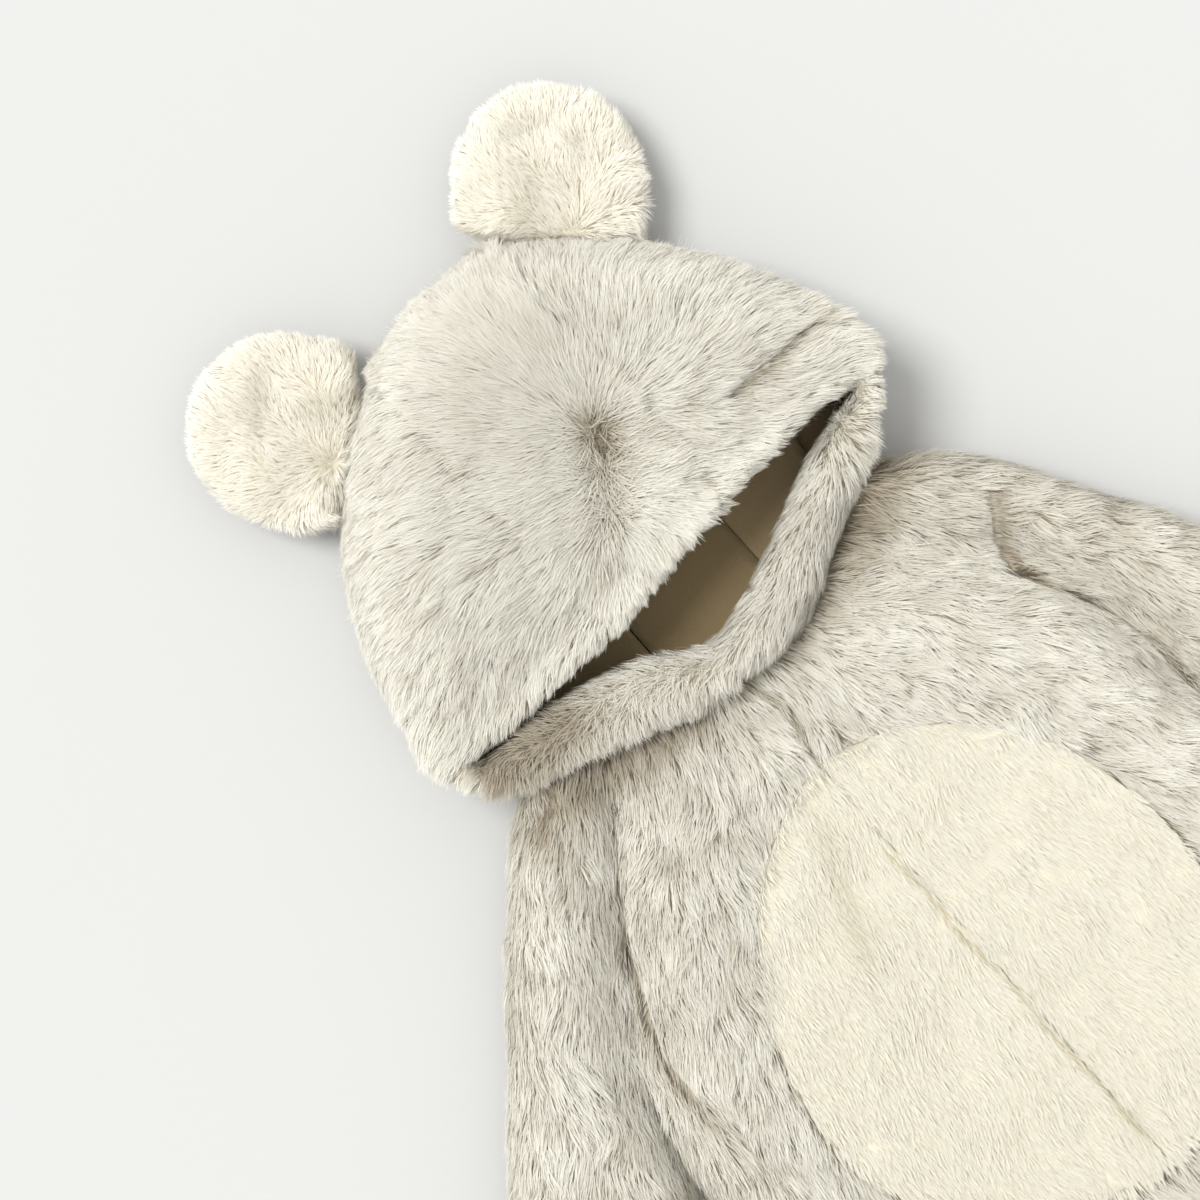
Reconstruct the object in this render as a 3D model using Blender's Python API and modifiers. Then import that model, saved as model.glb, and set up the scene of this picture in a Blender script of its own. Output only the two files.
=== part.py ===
"""Hooded sleepsuit in long-pile plush, laid flat on its back.

+Z is up, +Y runs toward the head and +X is the wearer's left. The tables are in millimetres
from the front neck point; the finished pieces are moved so that the origin lies under the
middle of the whole suit. Each sheet is a grid of outer points, rows by columns, given its
thickness by Solidify. The outer face of a sheet is where the lying pile ends.
"""

import math

import bmesh
import bpy
import numpy as np

MM = 0.001
SUIT_NAME = "hooded_sleepsuit"

BODY_WALL = 7.0
HOOD_WALL = 6.0
PATCH_WALL = 5.0
LINING_WALL = 1.2
SEAM_GAP = 0.3
PATCH_LIFT = 0.5

SEAM_Z = 14.0
SIDE_ROUND = 18.0
CREASE_ROUND = 26.0
UNDER_ROUND = 13.0
UNDER_STEPS = (1.7, 6.5, 13.0)
UNDER_SEAM_STEPS = (12.0, 4.0, 0.0)
CENTRE_RUN = 60.0
FOLD_FADE = 10.0

HOOD_TOP_Z = 68.0
HOOD_EDGE_Z = 17.0
HOOD_ROUND = 46.0
HOOD_ROUND_SHARE = 0.55
HOOD_RISE_START = 40.0
HOOD_RISE_RUN = 60.0
TOP_RUN = 70.0
HOOD_SHORT = 40.0
RIM_CURL = 9.0
RIM_TROUGH_BACK = 17.0
RIM_TROUGH_DEPTH = 3.5
RIM_TROUGH_WIDTH = 7.0
RIM_TROUGH_START = 30.0
RIM_TROUGH_RUN = 50.0
RIM_UNDER_DROP = 7.0

SLEEVE_TOP_Z = 41.0
SLEEVE_EDGE_Z = 17.0
SLEEVE_ROUND = 20.0
SLEEVE_ROUND_SHARE = 0.36
SLEEVE_FOLD_SHARES = (1.0, 0.55, 0.22, 0.05, 0.0)
SLEEVE_SEAM_STEPS = (0.0, 3.0, 10.0)
SLEEVE_RISE_RUN = 22.0
SLEEVE_WIDE = 60.0
SLEEVE_NARROW_SHARE = 0.34
SLEEVE_MIDDLE_SHARE = 0.52

EAR_RADIUS = 43.0
EAR_MID_Z = 19.0
EAR_FRONT_PUFF = 13.0
EAR_BACK_PUFF = 11.0
EAR_CREASE_DEPTH = 3.0
EAR_CREASE_WIDTH = 9.0
EAR_CREASE_EDGE = 0.98
EAR_CUT_SLOPE = 1.35
EAR_BASE_SPREAD = 0.42
EAR_SIDE_POWER = 0.75
EAR_SEGMENTS = 24
EAR_RINGS = 12

LINING_Z = 8.8
LINING_WAVE = 0.6
LINING_WAVE_X = 21.0
LINING_WAVE_Y = 34.0

# The crease where each cheek turns over the front of the neck: distance out from the centre, y.
NECK_OUT = (0.0, 14.0, 30.0, 48.0, 66.0, 84.0, 98.0)
NECK_Y = {
    "left": (-3.0, -4.0, -3.0, 3.5, 14.5, 24.5, 29.0),
    "right": (-3.0, -2.0, 2.0, 8.0, 14.5, 19.0, 22.3),
}

# Columns of a front at its neck edge, so that they fall on the corners of the crease above.
FRONT_NECK_OUT = (0.0, 14.0, 30.0, 39.0, 48.0, 57.0, 63.0, 66.0, 69.0, 72.0)

# The seam at the nape is one straight line.
NAPE_Y = 25.5
NAPE_SLOPE = 0.02

# Sleeve sections from neck to cuff: seam or inner edge, outer fold, and how far the section
# is closed (0 on the raglan seam, 1 below the underarm). The first seven are the raglan seam.
SLEEVE_SECTIONS = {
    "left": (
        # seam_x, seam_y, fold_x, fold_y, seam_z, closed
        (72.0, 17.7, 104.0, 27.2, 31.0, 0.0),
        (86.0, 0.0, 126.0, 16.0, 32.0, 0.0),
        (101.0, -20.0, 143.0, 0.0, 32.0, 0.0),
        (118.0, -44.0, 157.0, -24.0, 31.0, 0.0),
        (131.0, -70.0, 172.0, -48.0, 30.0, 0.0),
        (145.0, -100.0, 185.0, -70.0, 30.0, 0.0),
        (148.0, -128.0, 197.0, -92.0, 26.0, 0.0),
        (147.0, -152.0, 211.0, -117.0, SEAM_Z, 1.0),
        (161.0, -180.0, 228.0, -148.0, SEAM_Z, 1.0),
        (179.0, -213.0, 246.0, -181.0, SEAM_Z, 1.0),
        (197.0, -246.0, 264.0, -214.0, SEAM_Z, 1.0),
        (215.0, -277.0, 281.0, -245.0, SEAM_Z, 1.0),
        (231.0, -306.0, 297.0, -274.0, SEAM_Z, 1.0),
    ),
    "right": (
        (72.0, 15.9, 106.0, 22.5, 31.0, 0.0),
        (75.0, -5.0, 124.0, 8.0, 32.0, 0.0),
        (88.0, -24.0, 141.0, -10.0, 32.0, 0.0),
        (104.0, -45.0, 157.0, -27.0, 31.0, 0.0),
        (121.0, -66.0, 171.0, -42.0, 30.0, 0.0),
        (139.0, -90.0, 187.0, -61.0, 30.0, 0.0),
        (151.0, -115.0, 203.0, -80.0, 26.0, 0.0),
        (162.0, -158.0, 226.0, -107.0, SEAM_Z, 1.0),
        (183.0, -182.0, 247.0, -131.0, SEAM_Z, 1.0),
        (207.0, -209.0, 270.0, -159.0, SEAM_Z, 1.0),
        (231.0, -237.0, 293.0, -187.0, SEAM_Z, 1.0),
        (256.0, -265.0, 317.0, -215.0, SEAM_Z, 1.0),
        (280.0, -292.0, 340.0, -243.0, SEAM_Z, 1.0),
    ),
}
UNDERARM_ROW = 7
FOLD_COLUMN = 9

# Body rows from neck to hem: the centre front or inseam, the patch's edge line, the side seam.
# The sides of the first eight rows are the sleeve's sections above.
BODY_ROWS = {
    "left": (
        # in_x, in_y, mid_x, mid_y, side_x, side_y
        (0.0, -3.3, 48.0, 3.2, None, None),
        (0.0, -20.0, 50.0, -24.0, None, None),
        (0.0, -38.0, 51.0, -50.0, None, None),
        (0.0, -55.0, 52.0, -76.0, None, None),
        (0.0, -82.0, 71.0, -96.0, None, None),
        (0.0, -110.0, 84.0, -117.0, None, None),
        (0.0, -138.0, 92.0, -142.0, None, None),
        (0.0, -166.0, 95.0, -168.0, None, None),
        (0.0, -195.0, 94.0, -197.0, 150.0, -185.0),
        (0.0, -225.0, 87.0, -222.0, 151.0, -215.0),
        (0.0, -255.0, 73.0, -243.0, 152.0, -245.0),
        (0.0, -285.0, 54.0, -261.0, 153.0, -277.0),
        (0.0, -312.0, 60.0, -298.0, 155.0, -308.0),
        (0.0, -338.0, 67.0, -332.0, 157.0, -336.0),
        (0.0, -356.0, 73.0, -357.0, 159.0, -358.0),
        (11.0, -386.0, 79.0, -387.0, 161.0, -388.0),
        (27.0, -420.0, 89.0, -420.0, 164.0, -420.0),
        (43.0, -453.0, 100.0, -453.0, 167.0, -453.0),
        (58.0, -487.0, 111.0, -487.0, 170.0, -487.0),
        (72.0, -520.0, 122.0, -520.0, 173.0, -520.0),
    ),
    "right": (
        (0.0, -3.3, 48.0, 7.7, None, None),
        (0.0, -20.0, 52.0, -23.0, None, None),
        (0.0, -38.0, 56.0, -52.0, None, None),
        (0.0, -55.0, 60.0, -82.0, None, None),
        (0.0, -82.0, 77.0, -102.0, None, None),
        (0.0, -110.0, 91.0, -124.0, None, None),
        (0.0, -138.0, 100.0, -148.0, None, None),
        (0.0, -166.0, 105.0, -173.0, None, None),
        (0.0, -195.0, 104.0, -199.0, 161.0, -188.0),
        (0.0, -225.0, 96.0, -222.0, 159.0, -218.0),
        (0.0, -255.0, 80.0, -244.0, 158.0, -247.0),
        (0.0, -285.0, 58.0, -262.0, 157.0, -278.0),
        (0.0, -312.0, 62.0, -299.0, 157.0, -308.0),
        (0.0, -338.0, 68.0, -332.0, 158.0, -336.0),
        (0.0, -356.0, 74.0, -357.0, 160.0, -358.0),
        (11.0, -386.0, 80.0, -387.0, 162.0, -388.0),
        (27.0, -420.0, 90.0, -420.0, 165.0, -420.0),
        (43.0, -453.0, 101.0, -453.0, 168.0, -453.0),
        (58.0, -487.0, 112.0, -487.0, 171.0, -487.0),
        (72.0, -520.0, 123.0, -520.0, 174.0, -520.0),
    ),
}
PATCH_TOP_ROW = 3
PATCH_BOTTOM_ROW = 11
CROTCH_ROW = 14
PATCH_COLUMN = 4

# Height of a front's outer face along its rows: at the centre front, and across its middle.
FRONT_IN_Z = (33, 35, 38, 40, 41, 42, 43, 44, 44, 44, 44, 43, 41, 35, 14, 14, 14, 14, 14, 14)
FRONT_MID_Z = (33, 37, 40, 42, 43, 44, 45, 45, 45, 45, 44, 44, 43, 42, 41, 40, 39, 38, 37, 36)
# Height of a back's outer face at its centre seam and inseams; elsewhere it lies on the floor.
BACK_IN_Z = (0, 0, 0, 0, 0, 0, 0, 0, 0, 0, 0, 0, 0, 3, 14, 14, 14, 14, 14, 14)
# How round the top and bottom of the patch are, row by row (1 is straight).
ROW_BEND = (1.0, 1.2, 1.5, 1.8, 1.7, 1.5, 1.3, 1.1, 1.1, 1.3,
            1.5, 1.7, 1.4, 1.2, 1.0, 1.0, 1.0, 1.0, 1.0, 1.0)

# Where a body panel's columns lie: a share of the way from centre to patch line, on the torso
# and on a leg, and then the distance in from the side, or a share of a short row.
TORSO_SHARES = (0.0, 0.25, 0.5, 0.75, 1.0)
LEG_SHARES = (0.0, 0.05, 0.2, 0.5, 1.0)
SIDE_STEPS = ((40.0, 0.5), (16.0, 0.35), (7.0, 0.2), (2.0, 0.06), (0.0, 0.0))

# Hood columns, fanned from the face edge to the outline. The first and last ones are the cheeks,
# which end in a leg that stands at the neck; the others run on round the outline to the nape.
CHEEK_COLUMNS = {
    "left": (
        # face_x, face_y, edge_x, edge_y, face_low_z, edge_z, leg_low_z
        (0.0, 13.0, 0.0, -3.0, 25.0, 38.0, 26.0),
        (9.0, 15.0, 14.0, -4.0, 25.0, 38.0, 26.0),
        (22.0, 18.0, 30.0, -3.0, 25.0, 38.0, 26.0),
        (39.0, 25.5, 48.0, 3.5, 25.0, 38.0, 26.0),
        (57.0, 33.0, 66.0, 14.5, 25.0, 38.0, 26.0),
        (75.0, 42.0, 84.0, 24.5, 25.0, 38.0, 27.0),
        (91.0, 49.0, 98.0, 29.0, 26.0, 38.0, 27.0),
        (104.0, 52.0, 113.0, 36.5, 28.0, 22.0, 1.0),
        (113.0, 54.0, 126.0, 45.0, 32.0, 20.0, 1.0),
    ),
    "right": (
        (0.0, 13.0, 0.0, -3.0, 25.0, 38.0, 26.0),
        (7.0, 17.0, 14.0, -2.0, 25.0, 38.0, 26.0),
        (21.0, 27.0, 30.0, 2.0, 25.0, 38.0, 26.0),
        (39.0, 34.0, 48.0, 8.0, 25.0, 38.0, 26.0),
        (58.0, 38.0, 66.0, 14.5, 25.0, 38.0, 26.0),
        (77.0, 40.0, 84.0, 19.0, 25.0, 38.0, 27.0),
        (92.0, 41.0, 98.0, 22.3, 26.0, 38.0, 27.0),
        (102.0, 42.0, 113.0, 27.5, 28.0, 22.0, 1.0),
        (108.0, 43.5, 123.0, 37.0, 32.0, 20.0, 1.0),
    ),
}
HOOD_COLUMNS = (
    # rim_x, rim_y, edge_x, edge_y, nape_x, rim_top_z
    (-110.0, 46.0, -127.5, 50.0, -90.0, 52.0),
    (-101.0, 44.8, -126.0, 68.0, -82.0, 53.0),
    (-88.0, 44.5, -122.0, 95.0, -73.0, 54.0),
    (-72.0, 45.0, -114.0, 120.0, -62.0, 55.0),
    (-58.0, 45.0, -100.0, 147.0, -51.0, 56.0),
    (-46.0, 45.5, -77.0, 172.0, -41.0, 56.0),
    (-35.0, 46.0, -50.0, 193.0, -32.0, 57.0),
    (-23.0, 46.5, -27.0, 206.0, -22.0, 57.0),
    (-7.0, 49.0, -10.0, 212.5, -6.0, 57.0),
    (9.0, 52.0, 8.0, 214.0, 9.0, 57.0),
    (25.0, 54.0, 24.0, 213.5, 25.0, 57.0),
    (41.0, 55.5, 40.0, 211.0, 39.0, 57.0),
    (54.0, 57.0, 66.0, 193.0, 49.0, 57.0),
    (68.0, 58.5, 92.0, 169.0, 58.0, 56.0),
    (82.0, 59.5, 112.0, 146.0, 67.0, 56.0),
    (97.0, 60.0, 127.0, 117.0, 76.0, 55.0),
    (110.0, 60.0, 138.0, 88.0, 83.0, 54.0),
    (119.0, 57.5, 140.0, 63.0, 90.0, 52.0),
)
CHEEK_TOP_Z = 51.0
HOOD_LEFT_SEAM = 11
HOOD_RIGHT_SEAM = 7
CHEEK_ROWS = 14
CHEEK_WALL_SHARE = 0.24
FACE_STEPS = (3.0, 9.0, 17.0, 27.0)
EDGE_STEPS = (1.0, 0.62, 0.3, 0.08, 0.0)
ARCH_STEPS = 9
SHORT_COLUMN = 25.0
LONG_COLUMN = 75.0
UNDER_SHIFT_SHORT = 0.5
UNDER_SHIFT_LONG = 3.0
WRAP_ROWS = 4

# The largest folds: soft troughs from one point to another in the fur's top.
FOLDS = (
    # from_x, from_y, to_x, to_y, depth, half_width
    (134.0, -14.0, 121.0, -44.0, 6.0, 9.0),
    (18.0, 122.0, 17.0, 106.0, 7.0, 15.0),
    (18.0, 106.0, -18.0, 84.0, 3.0, 10.0),
    (18.0, 118.0, 62.0, 122.0, 2.5, 9.0),
    (-98.0, -2.0, -112.0, -38.0, 2.5, 8.0),
    (-27.0, -128.0, -34.0, -190.0, 2.5, 12.0),
    (40.0, -30.0, 66.0, -66.0, 2.0, 9.0),
    (-30.0, -28.0, -52.0, -62.0, 2.0, 9.0),
)

# Ears: centre, the middle of the base on the hood's outline, and how near it the round is cut.
EARS = {
    "left": {"centre": (82.0, 216.0), "base": (63.4, 195.0), "cut": 27.4},
    "right": {"centre": (-79.0, 211.0), "base": (-58.7, 186.3), "cut": 31.6},
}

# Lining sheets: their two long edges, at the neck end and at the crown end.
LININGS = {
    # name: (near_x_a, near_x_b, far_x_a, far_x_b)
    "lining_right": (-78.0, -23.0, -84.0, -23.0),
    "lining_centre": (-23.0, 41.0, -22.0, 40.0),
    "lining_left": (41.0, 82.0, 40.0, 96.0),
}
LINING_NEAR_Y = -14.0
LINING_FAR_Y = 132.0
LINING_CELLS = 7

SIDES = {"left": 1.0, "right": -1.0}


def clear_scene():
    for thing in list(bpy.data.objects):
        bpy.data.objects.remove(thing, do_unlink=True)


def linear_rgba(hex_colour):
    """A linear colour from an sRGB hex value."""
    channels = [int(hex_colour[i:i + 2], 16) / 255.0 for i in (1, 3, 5)]
    linear = [c / 12.92 if c <= 0.04045 else ((c + 0.055) / 1.055) ** 2.4 for c in channels]
    return (*linear, 1.0)


def cloth_material(name, hex_colour, roughness):
    material = bpy.data.materials.new(name)
    material.use_nodes = True
    shader = material.node_tree.nodes["Principled BSDF"]
    shader.inputs["Base Color"].default_value = linear_rgba(hex_colour)
    shader.inputs["Roughness"].default_value = roughness
    shader.inputs["Metallic"].default_value = 0.0
    material.diffuse_color = linear_rgba(hex_colour)
    return material


def arc(share):
    """Height of a quarter circle: 0 at its foot, 1 at its top and beyond."""
    share = min(max(share, 0.0), 1.0)
    return math.sqrt(1.0 - (1.0 - share) ** 2)


def smooth(share):
    """An even rise from 0 to 1, level at both ends."""
    share = min(max(share, 0.0), 1.0)
    return share * share * (3.0 - 2.0 * share)


def mix(a, b, share):
    return a + (b - a) * share


def neck_y(side, out):
    """The neck crease at a distance out from the centre."""
    return float(np.interp(out, NECK_OUT, NECK_Y[side]))


def nape_y(x):
    """The nape seam at a distance across."""
    return NAPE_Y + NAPE_SLOPE * x


def fold_depth(x, y):
    """How far the troughs lower the fur's top at a place."""
    depth = 0.0
    for from_x, from_y, to_x, to_y, deep, half_width in FOLDS:
        run = np.array((to_x - from_x, to_y - from_y))
        place = np.array((x - from_x, y - from_y))
        share = min(max(float(place @ run) / float(run @ run), 0.0), 1.0)
        away = np.linalg.norm(place - share * run)
        depth += deep * math.exp(-(away / half_width) ** 2)
    return depth


def body_plan(side, layer):
    """Plan points of a front or back: rows by columns."""
    sign = SIDES[side]
    rows = []
    for row, (in_x, in_y, mid_x, mid_y, side_x, side_y) in enumerate(BODY_ROWS[side]):
        if side_x is None:
            side_x, side_y = SLEEVE_SECTIONS[side][row][:2]
        leg = smooth((row - PATCH_BOTTOM_ROW) / (CROTCH_ROW - PATCH_BOTTOM_ROW))
        points = []
        for torso_share, leg_share in zip(TORSO_SHARES, LEG_SHARES):
            share = mix(torso_share, leg_share, leg)
            bent = share ** ROW_BEND[row]
            points.append((mix(in_x, mid_x, share), mix(in_y, mid_y, bent)))
        length = math.hypot(side_x - mid_x, side_y - mid_y)
        for step, step_share in SIDE_STEPS:
            share = 1.0 - min(step / length, step_share)
            points.append((mix(mid_x, side_x, share), mix(mid_y, side_y, share)))
        rows.append(points)
    if layer == "front":
        rows[0] = [(out, neck_y(side, out) - SEAM_GAP) for out in FRONT_NECK_OUT]
    else:
        rows[0] = [(out, nape_y(sign * out) - SEAM_GAP) for out in FRONT_NECK_OUT]
    plan = np.array(rows)
    plan[:, :, 0] = np.maximum(plan[:, :, 0], 0.5 * SEAM_GAP)
    plan[:, :, 0] *= sign
    return plan


def on_patch(row, column):
    """Whether a point of a front lies under the belly patch."""
    return PATCH_TOP_ROW <= row <= PATCH_BOTTOM_ROW and column <= PATCH_COLUMN


def front_grid(side):
    """Outer points of a front, cut in one with its leg."""
    plan = body_plan(side, "front")
    grid = np.zeros(plan.shape[:2] + (3,))
    grid[:, :, :2] = plan
    for row in range(plan.shape[0]):
        inner_z = FRONT_IN_Z[row]
        middle_z = FRONT_MID_Z[row]
        for column in range(plan.shape[1]):
            x, y = plan[row, column]
            from_in = float(np.linalg.norm(plan[row, column] - plan[row, 0]))
            from_side = float(np.linalg.norm(plan[row, column] - plan[row, -1]))
            if row < CROTCH_ROW:
                height = mix(inner_z, middle_z, smooth(from_in / CENTRE_RUN))
            else:
                height = mix(inner_z, middle_z, arc(from_in / SIDE_ROUND))
            if row < UNDERARM_ROW:
                edge_z = SLEEVE_SECTIONS[side][row][4]
                height = mix(edge_z, height, smooth(from_side / CREASE_ROUND))
            else:
                height = mix(SEAM_Z, height, arc(from_side / SIDE_ROUND))
            height -= fold_depth(x, y) * smooth(from_side / FOLD_FADE)
            if on_patch(row, column):
                height -= PATCH_WALL
            grid[row, column, 2] = height
    seam_lift = 0.5 * SEAM_GAP
    grid[UNDERARM_ROW:, -1, 2] = SEAM_Z + seam_lift
    grid[CROTCH_ROW:, 0, 2] = SEAM_Z + seam_lift
    return grid


def back_grid(side):
    """Outer points of a back, which lies on the floor but for its seams."""
    plan = body_plan(side, "back")
    grid = np.zeros(plan.shape[:2] + (3,))
    grid[:, :, :2] = plan
    for row in range(plan.shape[0]):
        for column in range(plan.shape[1]):
            from_in = float(np.linalg.norm(plan[row, column] - plan[row, 0]))
            from_side = float(np.linalg.norm(plan[row, column] - plan[row, -1]))
            rise = BACK_IN_Z[row] * (1.0 - arc(from_in / UNDER_ROUND))
            if row >= UNDERARM_ROW:
                rise += SEAM_Z * (1.0 - arc(from_side / UNDER_ROUND))
            grid[row, column, 2] = rise
    seam_drop = 0.5 * SEAM_GAP
    grid[UNDERARM_ROW:, -1, 2] = SEAM_Z - seam_drop
    grid[CROTCH_ROW:, 0, 2] = SEAM_Z - seam_drop
    return grid


def body_edge_normals(side, grid):
    """Outward normals that a body panel shares with the panel across each of its seams."""
    sign = SIDES[side]
    rows, columns = grid.shape[:2]
    normals = {}
    for row in range(rows):
        if row < UNDERARM_ROW:
            normals[(row, columns - 1)] = (0.0, 0.0, 1.0)
        else:
            normals[(row, columns - 1)] = (sign, 0.0, 0.0)
        if row == CROTCH_ROW:
            normals[(row, 0)] = (0.0, -1.0, 0.0)
        elif row > CROTCH_ROW:
            normals[(row, 0)] = (-sign, 0.0, 0.0)
        else:
            run = grid[row + 1, 0] - grid[max(row - 1, 0), 0]
            normals[(row, 0)] = (0.0, run[2] if row else 0.0, -run[1])
    return normals


def sleeve_grid(side):
    """Sleeve sections by columns, from the front seam over the fold and under to the back seam."""
    sign = SIDES[side]
    rows = []
    for section, (seam_x, seam_y, fold_x, fold_y, seam_z, closed) in enumerate(SLEEVE_SECTIONS[side]):
        seam = np.array((seam_x, seam_y))
        fold = np.array((fold_x, fold_y))
        length = float(np.linalg.norm(fold - seam))
        fourth = SLEEVE_RISE_RUN if length > SLEEVE_WIDE else SLEEVE_NARROW_SHARE * length
        from_seam = (*SLEEVE_SEAM_STEPS, fourth, SLEEVE_MIDDLE_SHARE * length)
        inset = min(SLEEVE_ROUND, SLEEVE_ROUND_SHARE * length)
        points = []
        for away in from_seam + tuple(length - share * inset for share in SLEEVE_FOLD_SHARES):
            place = mix(seam, fold, away / length)
            open_z = mix(seam_z, SLEEVE_TOP_Z, smooth(away / SLEEVE_RISE_RUN))
            closed_z = mix(SEAM_Z + 0.5 * SEAM_GAP, SLEEVE_TOP_Z, arc(away / SIDE_ROUND))
            height = mix(open_z, closed_z, closed)
            height = mix(SLEEVE_EDGE_Z, height, arc((length - away) / inset))
            height -= fold_depth(sign * place[0], place[1]) * smooth(away / FOLD_FADE)
            points.append((place[0], place[1], height))
        back_seam = seam.copy()
        if section == 0:
            points = [(x, min(y, neck_y(side, x) - SEAM_GAP), z) for x, y, z in points]
            back_seam[1] = nape_y(sign * seam_x) - SEAM_GAP
        for inward in UNDER_STEPS:
            share = inward / length
            place = mix(fold, back_seam, share)
            drop = 1.0 - arc(inward / UNDER_ROUND)
            points.append((place[0], place[1], SLEEVE_EDGE_Z * drop))
        place = mix(fold, back_seam, SLEEVE_MIDDLE_SHARE)
        points.append((place[0], place[1], 0.0))
        for inward in UNDER_SEAM_STEPS:
            place = mix(back_seam, fold, inward / length)
            rise = closed * (SEAM_Z - 0.5 * SEAM_GAP) * (1.0 - arc(inward / UNDER_SEAM_STEPS[0]))
            points.append((place[0], place[1], rise))
        rows.append(points)
    grid = np.array(rows)
    run = grid[:, FOLD_COLUMN, :2] - grid[:, 0, :2]
    run /= np.linalg.norm(run, axis=1)[:, None]
    grid[:, 0, :2] += run * SEAM_GAP
    grid[:, -1, :2] += run * SEAM_GAP
    grid[:, :, 0] *= sign
    return grid


def sleeve_edge_normals(grid):
    """Outward normals along a sleeve's front and back seams."""
    rows, columns = grid.shape[:2]
    normals = {}
    for row in range(rows):
        if row < UNDERARM_ROW:
            normals[(row, 0)] = (0.0, 0.0, 1.0)
            normals[(row, columns - 1)] = (0.0, 0.0, -1.0)
        else:
            outward = grid[row, 0] - grid[row, FOLD_COLUMN]
            normals[(row, 0)] = (outward[0], outward[1], 0.0)
            normals[(row, columns - 1)] = (outward[0], outward[1], 0.0)
    return normals


def arched_column(face, edge, top_z, edge_z):
    """A narrow hood column: half a round from face edge to outline, then straight down."""
    points = []
    for step in range(ARCH_STEPS + 1):
        angle = math.pi * step / ARCH_STEPS
        place = mix(face, edge, 0.5 - 0.5 * math.cos(angle))
        points.append((place[0], place[1], top_z - RIM_CURL * (1.0 - math.sin(angle))))
    foot_z = top_z - RIM_CURL
    points.append((edge[0], edge[1], mix(foot_z, edge_z, 0.5)))
    points.append((edge[0], edge[1], edge_z))
    return np.array(points)


def domed_column(face, edge, top_z, edge_z, trough):
    """A long hood column: the curled rim, its trough, the top and the round down to the outline."""
    length = float(np.linalg.norm(edge - face))
    scale = min(1.0, length / TOP_RUN)
    rounded = min(HOOD_ROUND, HOOD_ROUND_SHARE * length)
    crown_z = mix(top_z, HOOD_TOP_Z, smooth((length - HOOD_RISE_START) / HOOD_RISE_RUN))
    inner = [0.0] + [step * scale for step in FACE_STEPS]
    outer = [length - share * rounded for share in EDGE_STEPS]
    between = [mix(inner[-1], outer[0], share) for share in (1.0 / 3.0, 2.0 / 3.0)]
    points = []
    for away in inner + between + outer:
        place = mix(face, edge, away / length)
        height = mix(top_z, crown_z, smooth(away / TOP_RUN))
        height -= trough * math.exp(-((away - RIM_TROUGH_BACK) / RIM_TROUGH_WIDTH) ** 2)
        height -= fold_depth(place[0], place[1])
        height -= RIM_CURL * (1.0 - arc(away / RIM_CURL))
        height = mix(edge_z, height, arc((length - away) / rounded))
        points.append((place[0], place[1], height))
    return np.array(points)


def hood_column(face, edge, top_z, low_z, edge_z, trough):
    """Points of one hood column from under the face edge over the top to the outline."""
    face = np.array(face)
    edge = np.array(edge)
    length = float(np.linalg.norm(edge - face))
    long_share = smooth((length - SHORT_COLUMN) / (LONG_COLUMN - SHORT_COLUMN))
    arched = arched_column(face, edge, top_z, edge_z)
    domed = domed_column(face, edge, top_z, edge_z, trough)
    under = mix(face, edge, mix(UNDER_SHIFT_SHORT, UNDER_SHIFT_LONG, long_share) / length)
    return [(under[0], under[1], low_z)] + [tuple(point) for point in mix(arched, domed, long_share)]


def hood_grid():
    """All hood columns from the left cheek's end round the rim to the right one's, by rows."""
    columns = []
    for face_x, face_y, edge_x, edge_y, low_z, edge_z, leg_z in CHEEK_COLUMNS["right"]:
        points = hood_column((-face_x, face_y), (-edge_x, edge_y), CHEEK_TOP_Z, low_z, edge_z, 0.0)
        points.append((-edge_x, edge_y, leg_z))
        columns.append(points + [points[-1]] * WRAP_ROWS)
    for rim_x, rim_y, edge_x, edge_y, nape_x, top_z in HOOD_COLUMNS:
        rim = (rim_x, rim_y)
        length = math.hypot(edge_x - rim_x, edge_y - rim_y)
        trough = RIM_TROUGH_DEPTH * smooth((length - RIM_TROUGH_START) / RIM_TROUGH_RUN)
        low_z = top_z - RIM_CURL - RIM_UNDER_DROP
        points = hood_column(rim, (edge_x, edge_y), top_z, low_z, HOOD_EDGE_Z, trough)
        edge = np.array((edge_x, edge_y))
        nape = np.array((nape_x, nape_y(nape_x)))
        run = (nape - edge) / np.linalg.norm(nape - edge)
        if length < HOOD_SHORT:
            inward = np.array(rim) - edge
            run = inward / np.linalg.norm(inward)
        for away in UNDER_STEPS:
            place = edge + run * away
            points.append((place[0], place[1], HOOD_EDGE_Z * (1.0 - arc(away / UNDER_ROUND))))
        floor = np.array(points[-1][:2])
        for share in (0.5, 1.0):
            place = mix(floor, nape, share)
            points.append((place[0], place[1], 0.0))
        columns.append(points)
    for face_x, face_y, edge_x, edge_y, low_z, edge_z, leg_z in reversed(CHEEK_COLUMNS["left"]):
        points = hood_column((face_x, face_y), (edge_x, edge_y), CHEEK_TOP_Z, low_z, edge_z, 0.0)
        points.append((edge_x, edge_y, leg_z))
        columns.append(points + [points[-1]] * WRAP_ROWS)
    return np.array(columns).transpose(1, 0, 2)


def grid_normals(grid):
    """Outward normals at each grid point, from the points on both sides of it."""
    down = np.gradient(grid, axis=0)
    across = np.gradient(grid, axis=1)
    normals = np.cross(across, down)
    return normals / np.maximum(np.linalg.norm(normals, axis=2, keepdims=True), 1e-9)


def open_edge_normals(grid, sign):
    """Normals for a grid's first row that keep the wall's end square across the suit."""
    down = grid[1] - grid[0]
    across = np.gradient(grid[0], axis=0)
    normals = np.cross(down, across) * sign
    return {(0, column): (normal[0], 0.0, normal[2]) for column, normal in enumerate(normals)}


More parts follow.
